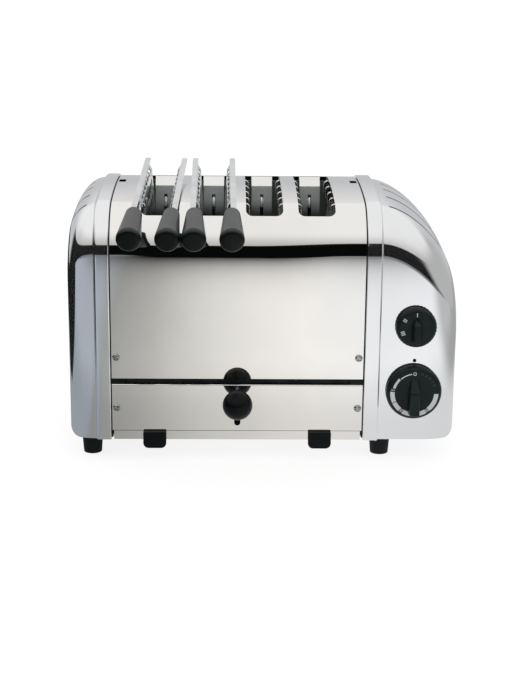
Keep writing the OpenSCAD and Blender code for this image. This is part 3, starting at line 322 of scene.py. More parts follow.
def arch(x, inset, top, r, bottom, steps=24):
    """Points of a body section at x: up the front, over the shoulders and the crown, down the rear."""
    half = body_d / 2 - inset
    turns = [(pi / 2 - crown_a) * k / steps for k in range(steps + 1)]
    front = [(mid_y - half + r - r * cos(t), top - r + r * sin(t)) for t in turns]
    rear = [(2 * mid_y - y, z) for y, z in reversed(front)]
    crown_r, crown_z = r + (half - r) / sin(crown_a), top - r - (half - r) / tan(crown_a)
    crown_n = 8
    tilts = [crown_a * k / crown_n for k in range(1 - crown_n, crown_n)]
    crown = [(mid_y + crown_r * sin(t), crown_z + crown_r * cos(t)) for t in tilts]
    section = [(mid_y - half, bottom), *front, *crown, *rear, (mid_y + half, bottom)]
    return [(x, y, z) for y, z in section]


def modify(piece, kind, **settings):
    """Adds a modifier to a piece and applies it."""
    bpy.context.view_layer.objects.active = piece
    change = piece.modifiers.new(kind.lower(), kind)
    for name, value in settings.items():
        setattr(change, name, value)
    bpy.ops.object.modifier_apply(modifier=change.name)


def carve(piece, cutter):
    """Cuts one piece out of another, and does away with it."""
    modify(piece, "BOOLEAN", operation="DIFFERENCE", object=cutter, solver="EXACT")
    bpy.data.objects.remove(cutter)


def shade(piece, angle=35):
    """Smooth faces with sharp edges past an angle, where the broad faces keep their flatness."""
    bpy.ops.object.select_all(action="DESELECT")
    piece.select_set(True)
    bpy.context.view_layer.objects.active = piece
    bpy.ops.object.shade_smooth_by_angle(angle=radians(angle))
    modify(piece, "WEIGHTED_NORMAL", keep_sharp=True)


def block(name, lo, hi, r=0, steps=3, edges=None):
    """A box between two corners. Its edges that pass a test, or all of them, are rounded."""
    lo, hi = Vector(lo) * MM, Vector(hi) * MM
    bpy.ops.object.select_all(action="DESELECT")
    bpy.ops.mesh.primitive_cube_add(size=1, location=(lo + hi) / 2, scale=hi - lo)
    piece = bpy.context.object
    piece.name = piece.data.name = name
    bpy.ops.object.transform_apply()
    if r:
        bpy.ops.object.mode_set(mode="EDIT")
        bpy.ops.mesh.select_mode(type="EDGE")
        pick(piece, edges or (lambda e: True), "edges")
        bpy.ops.mesh.bevel(offset=r * MM, segments=steps, profile=0.5)
        bpy.ops.mesh.select_mode(type="VERT")
        bpy.ops.object.mode_set(mode="OBJECT")
    return piece


def join(name, pieces):
    """Joins several meshes into the first one."""
    bpy.ops.object.select_all(action="DESELECT")
    for piece in pieces:
        piece.select_set(True)
    bpy.context.view_layer.objects.active = pieces[0]
    if len(pieces) > 1:
        bpy.ops.object.join()
    pieces[0].name = pieces[0].data.name = name
    return pieces[0]


def fit(piece, finish, body, slot, *replaced):
    """Gives a finished piece its material and body, and hides the nodes that it stands for.

    Its slot argument is not used.
    """
    piece.data.materials.clear()
    piece.data.materials.append(finish)
    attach(piece, body)
    if replaced:
        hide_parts(*replaced)


def fall(u, power):
    """How far a rounded form has dropped, from 0 to 1, at share u of its length."""
    u = min(max(u, 0), 1)
    return 1 - (1 - u ** power) ** (1 / power)


def casting(name, seam_x, side, end_w, drop, power, corner_l, step_r):
    """Shell of an end casting: seam face, rim with rounded edges, step, dome and end wall."""
    edge_r, foot_r, rounds = 0.9, 0.7, [radians(a) for a in range(0, 91, 15)]
    ends = [(0.0, seam_face)]
    ends += [(edge_r - edge_r * cos(a), -rim_proud + edge_r - edge_r * sin(a)) for a in rounds]
    ends += [(rim_w - step_r + step_r * sin(a), -rim_proud + step_r - step_r * cos(a)) for a in rounds]
    ends += [(rim_w + foot_r - foot_r * cos(a), dome_inset - foot_r + foot_r * sin(a)) for a in rounds]
    rings = []
    for x, inset in ends:
        rings.append(arch(seam_x + side * x, inset, shoulder_top - inset, shoulder_r - inset, base_z))
    dome_n, step_foot = 36, rim_w + 1.5 * foot_r
    for k in range(1, dome_n + 1):
        u = sin(radians(90 * k / dome_n))
        x = rim_w + (end_w - rim_w) * u
        if x < step_foot:
            continue
        rings.append(arch(
            seam_x + side * x,
            dome_inset + wall_draw * fall((x - end_w + corner_l) / corner_l, 2),
            shoulder_top - dome_inset - drop * fall(u, power),
            shoulder_r - dome_inset,
            base_z + hem_l * fall((x - end_w + hem_l) / hem_l, 2)))
    piece = sweep(name, rings, closed=True, capped=True)
    # The shell is open below, and its end wall faces outwards before the sheet gets its thickness.
    pick(piece, lambda f: f.normal.z < -0.95 and f.calc_center_median().z < (base_z + 0.3) * MM)
    bpy.ops.mesh.delete(type="FACE")
    pick(piece, lambda f: len(f.verts) > 4 and f.normal.x * side < 0)
    if any(f.select for f in bmesh.from_edit_mesh(piece.data).faces):
        bpy.ops.mesh.select_all(action="SELECT")
        bpy.ops.mesh.flip_normals()
    bpy.ops.object.mode_set(mode="OBJECT")
    modify(piece, "SOLIDIFY", thickness=casting_t * MM, offset=-1)
    reach = (rim_w + slit_from_rim, end_w + slit_past_end)
    slit_x0, slit_x1 = sorted(seam_x + side * x for x in reach)
    slits = []
    for k in range(-2, 3):
        y = mid_y + slit_pitch * k
        slit_lo, slit_hi = (slit_x0, y - slit_w / 2, slit_z0), (slit_x1, y + slit_w / 2, slit_z1)
        slits.append(block("slit", slit_lo, slit_hi))
    carve(piece, join("slits", slits))
    shade(piece)
    return piece


def polish(name, tint, rough, smear, metallic=1.0):
    """Mirror-polished metal: faint cloudy smears and the finest wheel marks in its roughness."""
    coat = Finish(bpy.data.materials.new(name))
    where = coat.add("TexCoord")["Object"]
    cloud = coat.add("TexNoise", {}, {"Vector": where, "Scale": 11.0, "Detail": 5.0})["Fac"]
    wheel = coat.add("Mapping", {}, {"Vector": where, "Scale": (1400.0, 25.0, 25.0)})["Vector"]
    mark = coat.add("TexNoise", {}, {"Vector": wheel, "Scale": 1.0, "Detail": 2.0})["Fac"]
    duller = tuple(0.94 * c for c in tint)
    coat.add("OutputMaterial", {}, {"Surface": coat.add("BsdfPrincipled", {}, {
        "Base Color": coat.tint(coat.ramp(cloud, 0.35, 0.65), duller, tint),
        "Metallic": metallic,
        "Roughness": rough + smear * (cloud - 0.5) + 0.02 * (mark - 0.5)})["BSDF"]})
    return coat.owner


aluminium = polish("polished_aluminium", (0.91, 0.92, 0.93), rough=0.06, smear=0.04, metallic=0.97)
left_casting = casting(
    "left_casting_shell", cover_x0 - seam_gap, side=-1,
    end_w=39, drop=30, power=2, corner_l=24, step_r=3.4)
fit(left_casting, aluminium, "body", "polished_aluminium", "left_end_casting")
right_casting = casting(
    "right_casting_shell", cover_x1 + seam_gap, side=1,
    end_w=86, drop=80, power=1.65, corner_l=34, step_r=1.6)
fit(right_casting, aluminium, "body", "polished_aluminium", "right_end_casting")


# The chamber plates close the slots at the front and the rear, with a tongue that shows in each
# slot and a bead pressed into each tongue. They are stamped from steel sheet and dulled with heat.
# Their colour darkens towards the bottom as painted shade, deep in the slots.
def settle(piece, place):
    """Moves a finished mesh into its place and leaves its object at the origin."""
    bpy.ops.object.select_all(action="DESELECT")
    piece.select_set(True)
    bpy.context.view_layer.objects.active = piece
    piece.matrix_world = place
    bpy.ops.object.transform_apply()


def at(x, y, z):
    """A place in millimetres."""
    return Matrix.Translation(Vector((x, y, z)) * MM)


def swing(angle, axis):
    """A turn in degrees."""
    return Matrix.Rotation(radians(angle), 4, axis)


heated = Finish(bpy.data.materials.new("heated_steel"))
where = heated.add("TexCoord")["Object"]
cloud = heated.add("TexNoise", {}, {"Vector": where, "Scale": 25.0, "Detail": 4.0})["Fac"]
plate_tone = heated.tint(heated.ramp(cloud, 0.3, 0.7), (0.86, 0.95, 0.93), (0.97, 1.0, 0.99))
# Painted shade: below these heights the plates darken, as shade falls deep in the slots.
depth_shade_top, depth_shade_ends = 196 * MM, 216 * MM
painted_depth_shade = 1 - heated.ramp(heated.add("SeparateXYZ", {}, {0: where})["Z"], depth_shade_top, depth_shade_ends)
heated.add("OutputMaterial", {}, {"Surface": heated.add("BsdfPrincipled", {}, {
    "Base Color": heated.tint(painted_depth_shade, plate_tone, (0.10, 0.125, 0.12)),
    "Metallic": 0.15,
    "Roughness": 0.30 + 0.15 * cloud})["BSDF"]})
dress(heated.owner, "front_chamber_plate", "rear_chamber_plate")
pressed = metal(
    "pressed_bead", (0.97, 0.99, 0.98), (0.90, 0.93, 0.92),
    rough=0.16, spread=0.08, scale=60.0, grain=0.05, metallic=0.6)
slot_pitch, slot_mid = 48, (cover_x0 + cover_x1) / 2
slot_xs = [slot_mid + slot_pitch * k for k in (-1.5, -0.5, 0.5, 1.5)]
plate_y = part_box("rear_chamber_plate")[0].y / MM
bead_radii, bead_z, bead_tilt, bead_sunk = (2.0, 1.7, 6.6), 212.5, -20, 0.1
for k, x in enumerate(slot_xs):
    bpy.ops.object.select_all(action="DESELECT")
    bpy.ops.mesh.primitive_uv_sphere_add(segments=32, ring_count=16, radius=MM)
    bead = bpy.context.object
    bead.name = bead.data.name = f"tongue_bead_{k + 1}"
    bpy.ops.object.mode_set(mode="EDIT")
    bpy.ops.mesh.select_all(action="SELECT")
    bpy.ops.transform.resize(value=bead_radii, center_override=(0, 0, 0))
    bpy.ops.object.mode_set(mode="OBJECT")
    settle(bead, at(x, plate_y, bead_z) @ swing(bead_tilt, "X"))
    bpy.ops.object.mode_set(mode="EDIT")
    bpy.ops.mesh.select_all(action="SELECT")
    back = (0, (plate_y + bead_sunk) * MM, 0)
    bpy.ops.mesh.bisect(plane_co=back, plane_no=(0, 1, 0), use_fill=True, clear_outer=True)
    bpy.ops.object.mode_set(mode="OBJECT")
    shade(bead, angle=50)
    fit(bead, pressed, "body", "plain_steel")


# The element boards are pressed mica, flecked and darkened by the heat. The heating ribbons are
# wound flat round them and have oxidised to a dark grey.
mica = Finish(bpy.data.materials.new("pressed_mica"))
where = mica.add("TexCoord")["Object"]
flake = mica.add("TexVoronoi", {"feature": "F1"}, {"Vector": where, "Scale": 380.0})["Color"]
patch = mica.add("TexNoise", {}, {"Vector": where, "Scale": 45.0, "Detail": 5.0})["Fac"]
ground = mica.tint(mica.ramp(patch, 0.35, 0.7), (0.08, 0.06, 0.04), (0.15, 0.12, 0.08))
fleck = mica.add("Mix", {"data_type": "RGBA", "blend_type": "SOFT_LIGHT"}, {
    "Factor": 0.6, "A": ground, "B": flake})["Result"]
mica.add("OutputMaterial", {}, {"Surface": mica.add("BsdfPrincipled", {}, {
    "Base Color": fleck, "Roughness": 0.45 + 0.2 * patch, "Specular IOR Level": 0.6})["BSDF"]})
dress(mica.owner, *[f"element_board_{k}" for k in range(1, 6)])
ribbon = metal(
    "oxidised_ribbon", (0.30, 0.27, 0.25), (0.17, 0.15, 0.14),
    rough=0.42, spread=0.15, scale=90.0, grain=0.05)
dress(ribbon, "heating_ribbons")


# The wire guards keep the bread off the boards with dulled strips, painted darker next
# to the rear plates as painted shade, and with bright hooks of bent wire at the slots' edges. The
# racks carry it on a rail with cross wires. They are bent from bright steel, and so are the lift
# bars and their guide rods.
bright = metal(
    "bright_steel", (0.66, 0.68, 0.67), (0.52, 0.54, 0.53),
    rough=0.20, spread=0.10, scale=40.0, grain=0.06)
guard = Finish(bpy.data.materials.new("guard_wire"))
where = guard.add("TexCoord")["Object"]
cloud = guard.add("TexNoise", {}, {"Vector": where, "Scale": 40.0, "Detail": 4.0})["Fac"]
# Painted shade: the guards turn darker where they reach the rear plates.
plate_shade_w = 4
painted_plate_shade = guard.add("SeparateXYZ", {}, {0: where})["Y"] > (plate_y - plate_shade_w) * MM
guard.add("OutputMaterial", {}, {"Surface": guard.add("BsdfPrincipled", {}, {
    "Base Color": guard.tint(painted_plate_shade, (0.40, 0.42, 0.41), (0.12, 0.14, 0.13)),
    "Metallic": 0.1,
    "Roughness": 0.25 + 0.15 * cloud})["BSDF"]})
dress(guard.owner, *[f"wire_guard_{k}" for k in range(1, 5)])
hook_r, hook_z, hook_tail, hook_ys = 0.9, 224, 1.4, (90, 61, 32, 3, -26)
bend_r, bend_x, bend_z = 3.2, 17.2, 232.5
bend = [radians(a) for a in range(0, 91, 15)]
path = [(bend_x - bend_r, hook_z, 0)]
path += [(bend_x - bend_r * cos(a), bend_z + bend_r * sin(a), a) for a in bend]
path += [(bend_x + hook_tail, bend_z + bend_r, pi / 2)]
round_wire = [radians(a) for a in range(0, 360, 36)]
rings = []
for x, z, lean in path:
    flat, steep = hook_r * cos(lean), hook_r * sin(lean)
    rings.append([(x + flat * cos(a), hook_r * sin(a), z - steep * cos(a)) for a in round_wire])
pattern = sweep("hook", rings, closed=True, capped=True)
bpy.ops.object.mode_set(mode="OBJECT")
hooks = []
for x in slot_xs:
    for side in (0, 180):
        for y in hook_ys:
            hook = pattern.copy()
            hook.data = pattern.data.copy()
            bpy.context.scene.collection.objects.link(hook)
            settle(hook, at(x, y, 0) @ swing(side, "Z"))
            hooks.append(hook)
bpy.data.objects.remove(pattern)
hooks = join("guard_hooks", hooks)
shade(hooks, angle=50)
hook_wire = metal(
    "hook_wire", (0.95, 0.96, 0.95), (0.85, 0.87, 0.86),
    rough=0.14, spread=0.08, scale=60.0, grain=0.05)
fit(hooks, hook_wire, "body", "plain_steel")
dress(bright, *[f"bread_rack_{k}" for k in range(1, 5)])
dress(bright, "lift_bar_front", "lift_bar_rear", "lift_guide_rods", "lever_arm", "lever_pivot_pin")


# The lever's ball is moulded in black plastic and pressed on the lever's rod. It comes out of its
# mould with a satin skin, and handling has polished it a little.
def turned(name, profile, place, steps=64):
    """Spins a profile of (radius, height) points round its axis and puts it in its place."""
    points = [Vector((r, 0, h)) * MM for r, h in profile]
    bpy.ops.object.select_all(action="DESELECT")
    bpy.ops.mesh.primitive_plane_add(size=MM)
    piece = bpy.context.object
    piece.name = piece.data.name = name
    bpy.ops.object.mode_set(mode="EDIT")
    bpy.ops.mesh.merge(type="CENTER")
    bpy.ops.transform.translate(value=points[0])
    for a, b in zip(points, points[1:]):
        bpy.ops.mesh.extrude_region_move(TRANSFORM_OT_translate={"value": b - a})
    bpy.ops.mesh.select_all(action="SELECT")
    bpy.ops.mesh.spin(steps=steps, angle=2 * pi, center=(0, 0, 0), axis=(0, 0, 1))
    bpy.ops.mesh.select_all(action="SELECT")
    bpy.ops.mesh.remove_doubles(threshold=0.002 * MM)
    bpy.ops.mesh.normals_make_consistent(inside=False)
    bpy.ops.object.mode_set(mode="OBJECT")
    settle(piece, place)
    return piece


def round_edge(r, h, radius, a0, a1, steps):
    """Points of a rounded corner about (r, h), from angle a0 to a1 in degrees."""
    turns = [radians(a0 + (a1 - a0) * k / steps) for k in range(steps + 1)]
    return [(r + radius * cos(t), h + radius * sin(t)) for t in turns]


def moulded(name, tint, rough, bump, shine, print_and_sheen=None):
    """Moulded black plastic: a fine skin, faint wear and an even satin gloss.

    A given function adds print to the dials and a painted sheen to the handles.
    """
    coat = Finish(bpy.data.materials.new(name))
    where = coat.add("TexCoord")["Object"]
    skin = coat.add("TexNoise", {}, {"Vector": where, "Scale": 1500.0, "Detail": 2.0})["Fac"]
    wear = coat.add("TexNoise", {}, {"Vector": where, "Scale": 70.0, "Detail": 4.0})["Fac"]
    paler = tuple(1.5 * c + 0.004 for c in tint)
    colour = coat.tint(coat.ramp(wear, 0.45, 0.75), tint, paler)
    if print_and_sheen:
        colour = print_and_sheen(coat, where, colour)
    relief = coat.add("Bump", {}, {"Strength": bump, "Distance": 0.1 * MM, "Height": skin})["Normal"]
    coat.add("OutputMaterial", {}, {"Surface": coat.add("BsdfPrincipled", {}, {
        "Base Color": colour,
        "Roughness": rough + 0.12 * (wear - 0.5),
        "Specular IOR Level": shine,
        "Normal": relief})["BSDF"]})
    return coat.owner


black = moulded("black_plastic", (0.003, 0.005, 0.006), rough=0.32, bump=0.12, shine=0.14)
ball_lo, ball_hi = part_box("lever_ball")
ball_mid, ball_r = (ball_lo + ball_hi) / 2 / MM, (ball_hi.x - ball_lo.x) / 2 / MM
rod_r = 2.35
profile = [(rod_r, -ball_r * 0.4), (rod_r, -ball_r * 0.982)]
profile += [(ball_r * sin(radians(a)), -ball_r * cos(radians(a))) for a in range(12, 180, 4)]
profile += [(0, ball_r)]
ball = turned("lever_ball_moulding", profile, at(*ball_mid) @ swing(90, "X"))
shade(ball, angle=50)
fit(ball, black, "lever", "black_plastic", "lever_ball")


# The top cover is one polished stainless sheet, bent over both shoulders down to the front and the
# rear, with four bread slots and two small rack holes. Screws hold its skirts to the heat shields.
# A dark sheet fills the notch on each side of the lip at the rear of every slot: painted shade.
skirt_z, sheet_t, seam_w = cover_lo.z / MM + 1, 1.2, 0.7
sheet_xs = (cover_x0 + seam_w, cover_x1 - seam_w)
cover = sweep("cover_sheet", [arch(x, 0, shoulder_top, shoulder_r, skirt_z, steps=32) for x in sheet_xs])
bpy.ops.object.mode_set(mode="OBJECT")
modify(cover, "SOLIDIFY", thickness=sheet_t * MM, offset=-1)
slot_w, slot_l, slot_corner, tab_w, cut_z0, cut_z1, past = 34, 175, 6, 20.5, 180, 260, 10
rear_plate_in, plate_t, lip_run, lip_w = 41.5, 1.2, 7.5, 20.4
rear_plate_y = mid_y + body_d / 2 - rear_plate_in
lip_y = rear_plate_y + plate_t + lip_run


def upright_edge(edge):
    return abs(edge.verts[0].co.z - edge.verts[1].co.z) > 10 * MM


for x in slot_xs:
    x0, x1 = x - slot_w / 2, x + slot_w / 2
    y0, y1 = mid_y - slot_l / 2, mid_y + slot_l / 2
    slot = block("slot", (x0, y0, cut_z0), (x1, y1, cut_z1), r=slot_corner, steps=8, edges=upright_edge)
    tab_lo, tab_hi = (x - tab_w / 2, lip_y, cut_z0 - past), (x + tab_w / 2, y1 + past, cut_z1 + past)
    carve(slot, block("tab", tab_lo, tab_hi))
    carve(cover, slot)
hole_in, hole_w, hole_y0, hole_y1, hole_z0, hole_z1 = 5.1, 6.5, mid_y + 13, mid_y + 27, 225, 250
for x in (cover_x0 + hole_in, cover_x1 - hole_in):
    hole_lo, hole_hi = (x - hole_w / 2, hole_y0, hole_z0), (x + hole_w / 2, hole_y1, hole_z1)
    carve(cover, block("rack_hole", hole_lo, hole_hi))
shoulder_y = mid_y + body_d / 2 - shoulder_r
lip_top = shoulder_top - shoulder_r + sqrt(shoulder_r ** 2 - (lip_y - shoulder_y) ** 2)
slope = [
    (rear_plate_y + 0.5, 227.9),
    (lip_y - 1.2, lip_top - 1.4),
    (lip_y - 0.4, lip_top - 0.5),
    (lip_y + 1.0, lip_top - 0.25)]
lips = []
for x in slot_xs:
    lip = sweep("lip", [[(x + side * lip_w / 2, y, z) for y, z in slope] for side in (-1, 1)])
    bpy.ops.object.mode_set(mode="OBJECT")
    modify(lip, "SOLIDIFY", thickness=sheet_t * MM, offset=-1)
    lips.append(lip)
cover = join("cover_sheet", [cover, *lips])
shade(cover)
steel = polish("polished_steel", (0.93, 0.92, 0.90), rough=0.035, smear=0.02)
fit(cover, steel, "body", "polished_steel", "top_cover")
# Painted shade: the dark sheets stand where the notches show the dark inside.
notch_y, notch_z, notch_top, notch_in, notch_out = mid_y + 72.5, 215, 236.2, 10.4, 16.9
notch_shades = [
    block("notch_shade", (x + a, notch_y, notch_z), (x + b, notch_y + sheet_t, notch_top))
    for x in slot_xs for a, b in ((-notch_out, -notch_in), (notch_in, notch_out))]
notch_shades = join("slot_notch_shades", notch_shades)
shade(notch_shades)
fit(notch_shades, painted_shade_steel, "body", "plain_steel")


# The lower panels close the base at the front and the rear. The front one is folded over along its
# top, has the lever's slot in its middle and is held by two screws at each end. A dark strip
# behind the gap above it is painted shade, so the gap shows black.
panel_lo, panel_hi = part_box("lower_front_panel")
front_y, panel_z0, panel_z1 = panel_lo.y / MM, panel_lo.z / MM, panel_hi.z / MM
fold_r, fold_in, panel_t = 1.2, 3, 1.15
fold = [radians(a) for a in range(30, 181, 30)]
section = [(front_y, panel_z0), (front_y, panel_z1 - fold_r)]
section += [(front_y + fold_r - fold_r * cos(a), panel_z1 - fold_r + fold_r * sin(a)) for a in fold]
section += [(front_y + 2 * fold_r, panel_z1 - fold_in)]
front_panel = sweep("front_panel_sheet", [[(x, y, z) for y, z in section] for x in sheet_xs])
bpy.ops.mesh.flip_normals()
bpy.ops.object.mode_set(mode="OBJECT")
modify(front_panel, "SOLIDIFY", thickness=panel_t * MM, offset=1)


def low_edges(height):
    """Test for edges that run from front to rear below a height."""
    def test(edge):
        a, b = (v.co for v in edge.verts)
        return max(a.z, b.z) < height and abs(a.y - b.y) > MM
    return test


lever_w, lever_z0, lever_z1, lever_round = 5.8, 33.3, 68.6, 2.8
lever_lo = (slot_mid - lever_w / 2, front_y - 5, lever_z0)
lever_hi = (slot_mid + lever_w / 2, front_y + 6, lever_z1)
low_end = low_edges((lever_z0 + 1) * MM)
lever_slot = block("lever_slot", lever_lo, lever_hi, r=lever_round, steps=8, edges=low_end)
carve(front_panel, lever_slot)
shade(front_panel)
fit(front_panel, steel, "body", "polished_steel", "lower_front_panel")
dress(steel, "lower_rear_panel")
# Painted shade: a dark strip behind the gap over the front panel.
gap_shade_in = 13
gap_shade_lo = (cover_x0 + gap_shade_in, front_y + 3.4, panel_z1 - 5)
gap_shade_hi = (cover_x1 - gap_shade_in, front_y + 4.6, skirt_z + 8)
gap_shade = block("painted_gap_shade", gap_shade_lo, gap_shade_hi, r=0.3)
shade(gap_shade)
fit(gap_shade, painted_shade_steel, "body", "plain_steel")


# The crumb tray slides under the body on the base plate. It is folded from the panels' steel, with
# a low front strip and two moulded tabs to pull it by.
dress(steel, "crumb_tray")
tab_r, tab_edge = 5, 1.1
for side in ("left", "right"):
    lo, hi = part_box(f"tray_tab_{side}")
    low_corners = low_edges(lo.z + MM)
    tab = block(f"tray_tab_{side}_moulding", lo / MM, hi / MM, r=tab_r, steps=8, edges=low_corners)
    modify(tab, "BEVEL", width=tab_edge * MM, segments=4, limit_method="ANGLE", angle_limit=radians(50))
    shade(tab, angle=40)
    fit(tab, black, "tray", "black_plastic", f"tray_tab_{side}")


# The timer and the selector switch sit behind the control end, each a moulded case with a brass
# spindle. Their dials are black mouldings with a raised grip and printed marks, and a dot on the
# casting is the timer's index.
case = Finish(bpy.data.materials.new("control_case"))
where = case.add("TexCoord")["Object"]
dust = case.add("TexNoise", {}, {"Vector": where, "Scale": 60.0, "Detail": 4.0})["Fac"]
case.add("OutputMaterial", {}, {"Surface": case.add("BsdfPrincipled", {}, {
    "Base Color": case.tint(dust, (0.46, 0.40, 0.27), (0.62, 0.56, 0.42)),
    "Roughness": 0.5 + 0.2 * dust})["BSDF"]})
dress(case.owner, "timer_body", "selector_body")
brass = metal(
    "turned_brass", (0.72, 0.54, 0.24), (0.60, 0.44, 0.18),
    rough=0.22, spread=0.08, scale=70.0, grain=0.05)
dress(brass, "timer_spindle", "selector_spindle")
dial_t, dial_bore_r, rim_l, rim_h, toe, tooth_d, tooth_l = 7.6, 3.05, 4.2, 1.8, 0.5, 0.4, 0.9
grip_h, grip_foot, grip_clear, grip_edge = 17, 7, 10, 1.2
dial_black, ink = (0.009, 0.018, 0.018), (0.93, 0.96, 0.96)


def dial(name, node, low, mid, high, base, front, tip, teeth=0):
    """Dial with a bevelled rim and a grip that is full height below and falls away above."""
    lo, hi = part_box(node)
    x, r, z = (lo.x + hi.x) / 2 / MM, (hi.x - lo.x) / 2 / MM, (lo.z + hi.z) / 2 / MM
    flank = [radians(a) for a in range(0, 91, 10)]
    profile = [(dial_bore_r, 0), (r - toe, 0), (r, toe)]
    profile += [(r - rim_l + rim_l * cos(a), rim_h + (dial_t - rim_h) * sin(a)) for a in flank]
    disc = turned(name, [*profile, (0, dial_t)], Matrix.Identity(4), 2 * teeth or 96)
    if teeth:
        def between(v):
            if v.co.xy.length <= (r - tooth_l) * MM:
                return False
            return round(teeth * v.co.xy.angle_signed(Vector((1, 0))) / pi) % 2

        bpy.ops.object.mode_set(mode="EDIT")
        pick(disc, between, "verts")
        inward = 1 - tooth_d / r
        bpy.ops.transform.resize(value=(inward, inward, 1), center_override=(0, 0, 0))
        bpy.ops.object.mode_set(mode="OBJECT")
    rings = [[(-b, v, grip_foot), (-f, v, h), (f, v, h), (b, v, grip_foot)] for v, b, f, h in (
        (-low, base, front, grip_h), (mid, base, front, grip_h), (high, tip, 0.6 * tip, dial_t + 0.5))]
    grip = sweep("grip", rings, closed=True, capped=True)
    bpy.ops.mesh.select_mode(type="EDGE")
    pick(grip, lambda e: e.is_boundary, "edges")
    bpy.ops.mesh.edge_face_add()
    bpy.ops.mesh.select_all(action="SELECT")
    bpy.ops.mesh.normals_make_consistent(inside=False)
    pick(grip, lambda e: max(v.co.z for v in e.verts) > grip_clear * MM, "edges")
    bpy.ops.mesh.bevel(offset=grip_edge * MM, segments=4, profile=0.5)
    bpy.ops.mesh.select_mode(type="VERT")
    bpy.ops.object.mode_set(mode="OBJECT")
    knob = join(name, [disc, grip])
    settle(knob, at(x, hi.y / MM, z) @ swing(90, "X"))
    shade(knob, angle=40)
    return knob


def dial_face(coat, where, node):
    """Millimetres to the right of a dial's axis and above it, and a mask of its printed face."""
    lo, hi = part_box(node)
    spot = coat.add("SeparateXYZ", {}, {0: where})
    right = (1 / MM) * spot["X"] - (lo.x + hi.x) / 2 / MM
    above = (1 / MM) * spot["Z"] - (lo.z + hi.z) / 2 / MM
    deep = (1 / MM) * spot["Y"] - (hi.y / MM - dial_t)
    ink_t = 0.3
    return right, above, (deep > -ink_t) * (deep < ink_t)


def bar(right, above, turn, r, aside, half_w=0.42, half_l=1.8):
    """Mask of a bar that points to the dial's axis, at an angle to the left of its top."""
    c, d = cos(radians(turn)), sin(radians(turn))
    across, out = right * c + above * d - aside, above * c - right * d - r
    return (across * across < half_w ** 2) * (out * out < half_l ** 2)


def timer_print(coat, where, plastic):
    """A white scale that thickens to the left, a ring at its start, ticks, and faint grey bars."""
    right, above, face = dial_face(coat, where, "timer_knob")
    r = (right * right + above * above) ** 0.5
    turn = (180 / pi) * coat.add("Math", {"operation": "ARCTAN2"}, {0: -1 * right, 1: above})["Value"]
    turn = turn + 360 * (turn < -80)
    scale_r, thin_r, scale_from, scale_to = 18.3, 19.3, 8, 269
    outer = thin_r + 1.3 * (turn > 43) + 1.8 * (turn > 80)
    white = (r > scale_r) * (r < outer) * (turn > scale_from) * (turn < scale_to)
    for middle, half in ((43.5, 1.6), (80.5, 5.0), (115, 0.9), (144.5, 4.5), (216.5, 5.0)):
        off = turn - middle
        white = white * (off * off > half ** 2)
    ring_up, ring_r, ring_hole = 18.9, 1.6, 1.05
    start = right * right + (above - ring_up) * (above - ring_up)
    white = white + (start < ring_r ** 2) * (start > ring_hole ** 2)
    tick_r, tick_gap = 20.3, 1.1
    for angle, count in ((80.5, 1), (144.5, 2), (216.5, 3)):
        for k in range(count):
            aside = tick_gap * (k - (count - 1) / 2)
            white = white + bar(right, above, angle, tick_r, aside, half_w=0.3, half_l=1.7)
    grey, grey_r, grey_share = 0, 20.0, 0.035
    for angle in (-20, -32, -44, -56, -66):
        grey = grey + bar(right, above, angle, grey_r, 0, half_w=0.9, half_l=1.3)
    inked = coat.tint(white * face, plastic, ink)
    return coat.tint(grey_share * grey * face, inked, ink)


def selector_print(coat, where, plastic):
    """One bar at the top, then two and three bars to the left, for the slots that are switched on."""
    right, above, face = dial_face(coat, where, "selector_knob")
    one_r, more_r = 12.8, 13.3
    white = bar(right, above, 0, one_r, 0)
    for angle, asides in ((55, (-0.85, 0.85)), (110, (-1.5, 0, 1.5))):
        for aside in asides:
            white = white + bar(right, above, angle, more_r, aside)
    return coat.tint(white * face, plastic, ink)


timer = dial(
    "timer_dial", "timer_knob", low=19.6, mid=2.4, high=14, base=5.8, front=4.4, tip=3.6)
timer_plastic = moulded(
    "timer_plastic", dial_black, rough=0.34, bump=0.12, shine=0.2, print_and_sheen=timer_print)
fit(timer, timer_plastic, "timer", "black_plastic", "timer_knob")
selector = dial(
    "selector_dial", "selector_knob",
    low=12.6, mid=4.6, high=9.4, base=4.8, front=2.8, tip=1.2, teeth=34)
selector_plastic = moulded(
    "selector_plastic", dial_black, rough=0.34, bump=0.12, shine=0.2, print_and_sheen=selector_print)
fit(selector, selector_plastic, "selector", "black_plastic", "selector_knob")
timer_lo, timer_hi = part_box("timer_knob")
index_x, index_y, index_z = (timer_lo.x + timer_hi.x) / 2 / MM, front_y + dome_inset + 0.3, 97
index_r, index_h, index_round, index_top = 1.7, 0.5, 0.3, 0.85
profile = [(0, 0), (index_r, 0), (index_r, index_h)]
profile += [*round_edge(index_r - index_round, index_h, index_round, 0, 90, 3), (0, index_top)]
index = turned("timer_index", profile, at(index_x, index_y, index_z) @ swing(90, "X"), steps=32)
shade(index)
fit(index, black, "body", "black_plastic")


# Four rubber feet stand under the corners, and a rubber gland guides the cord through the rear of
# the control end. Rubber is matt and picks up dust.
rubber = moulded("black_rubber", (0.008, 0.011, 0.011), rough=0.62, bump=0.3, shine=0.25)
dress(rubber, "foot_front_left", "foot_front_right", "foot_rear_left", "foot_rear_right", "cord_gland")


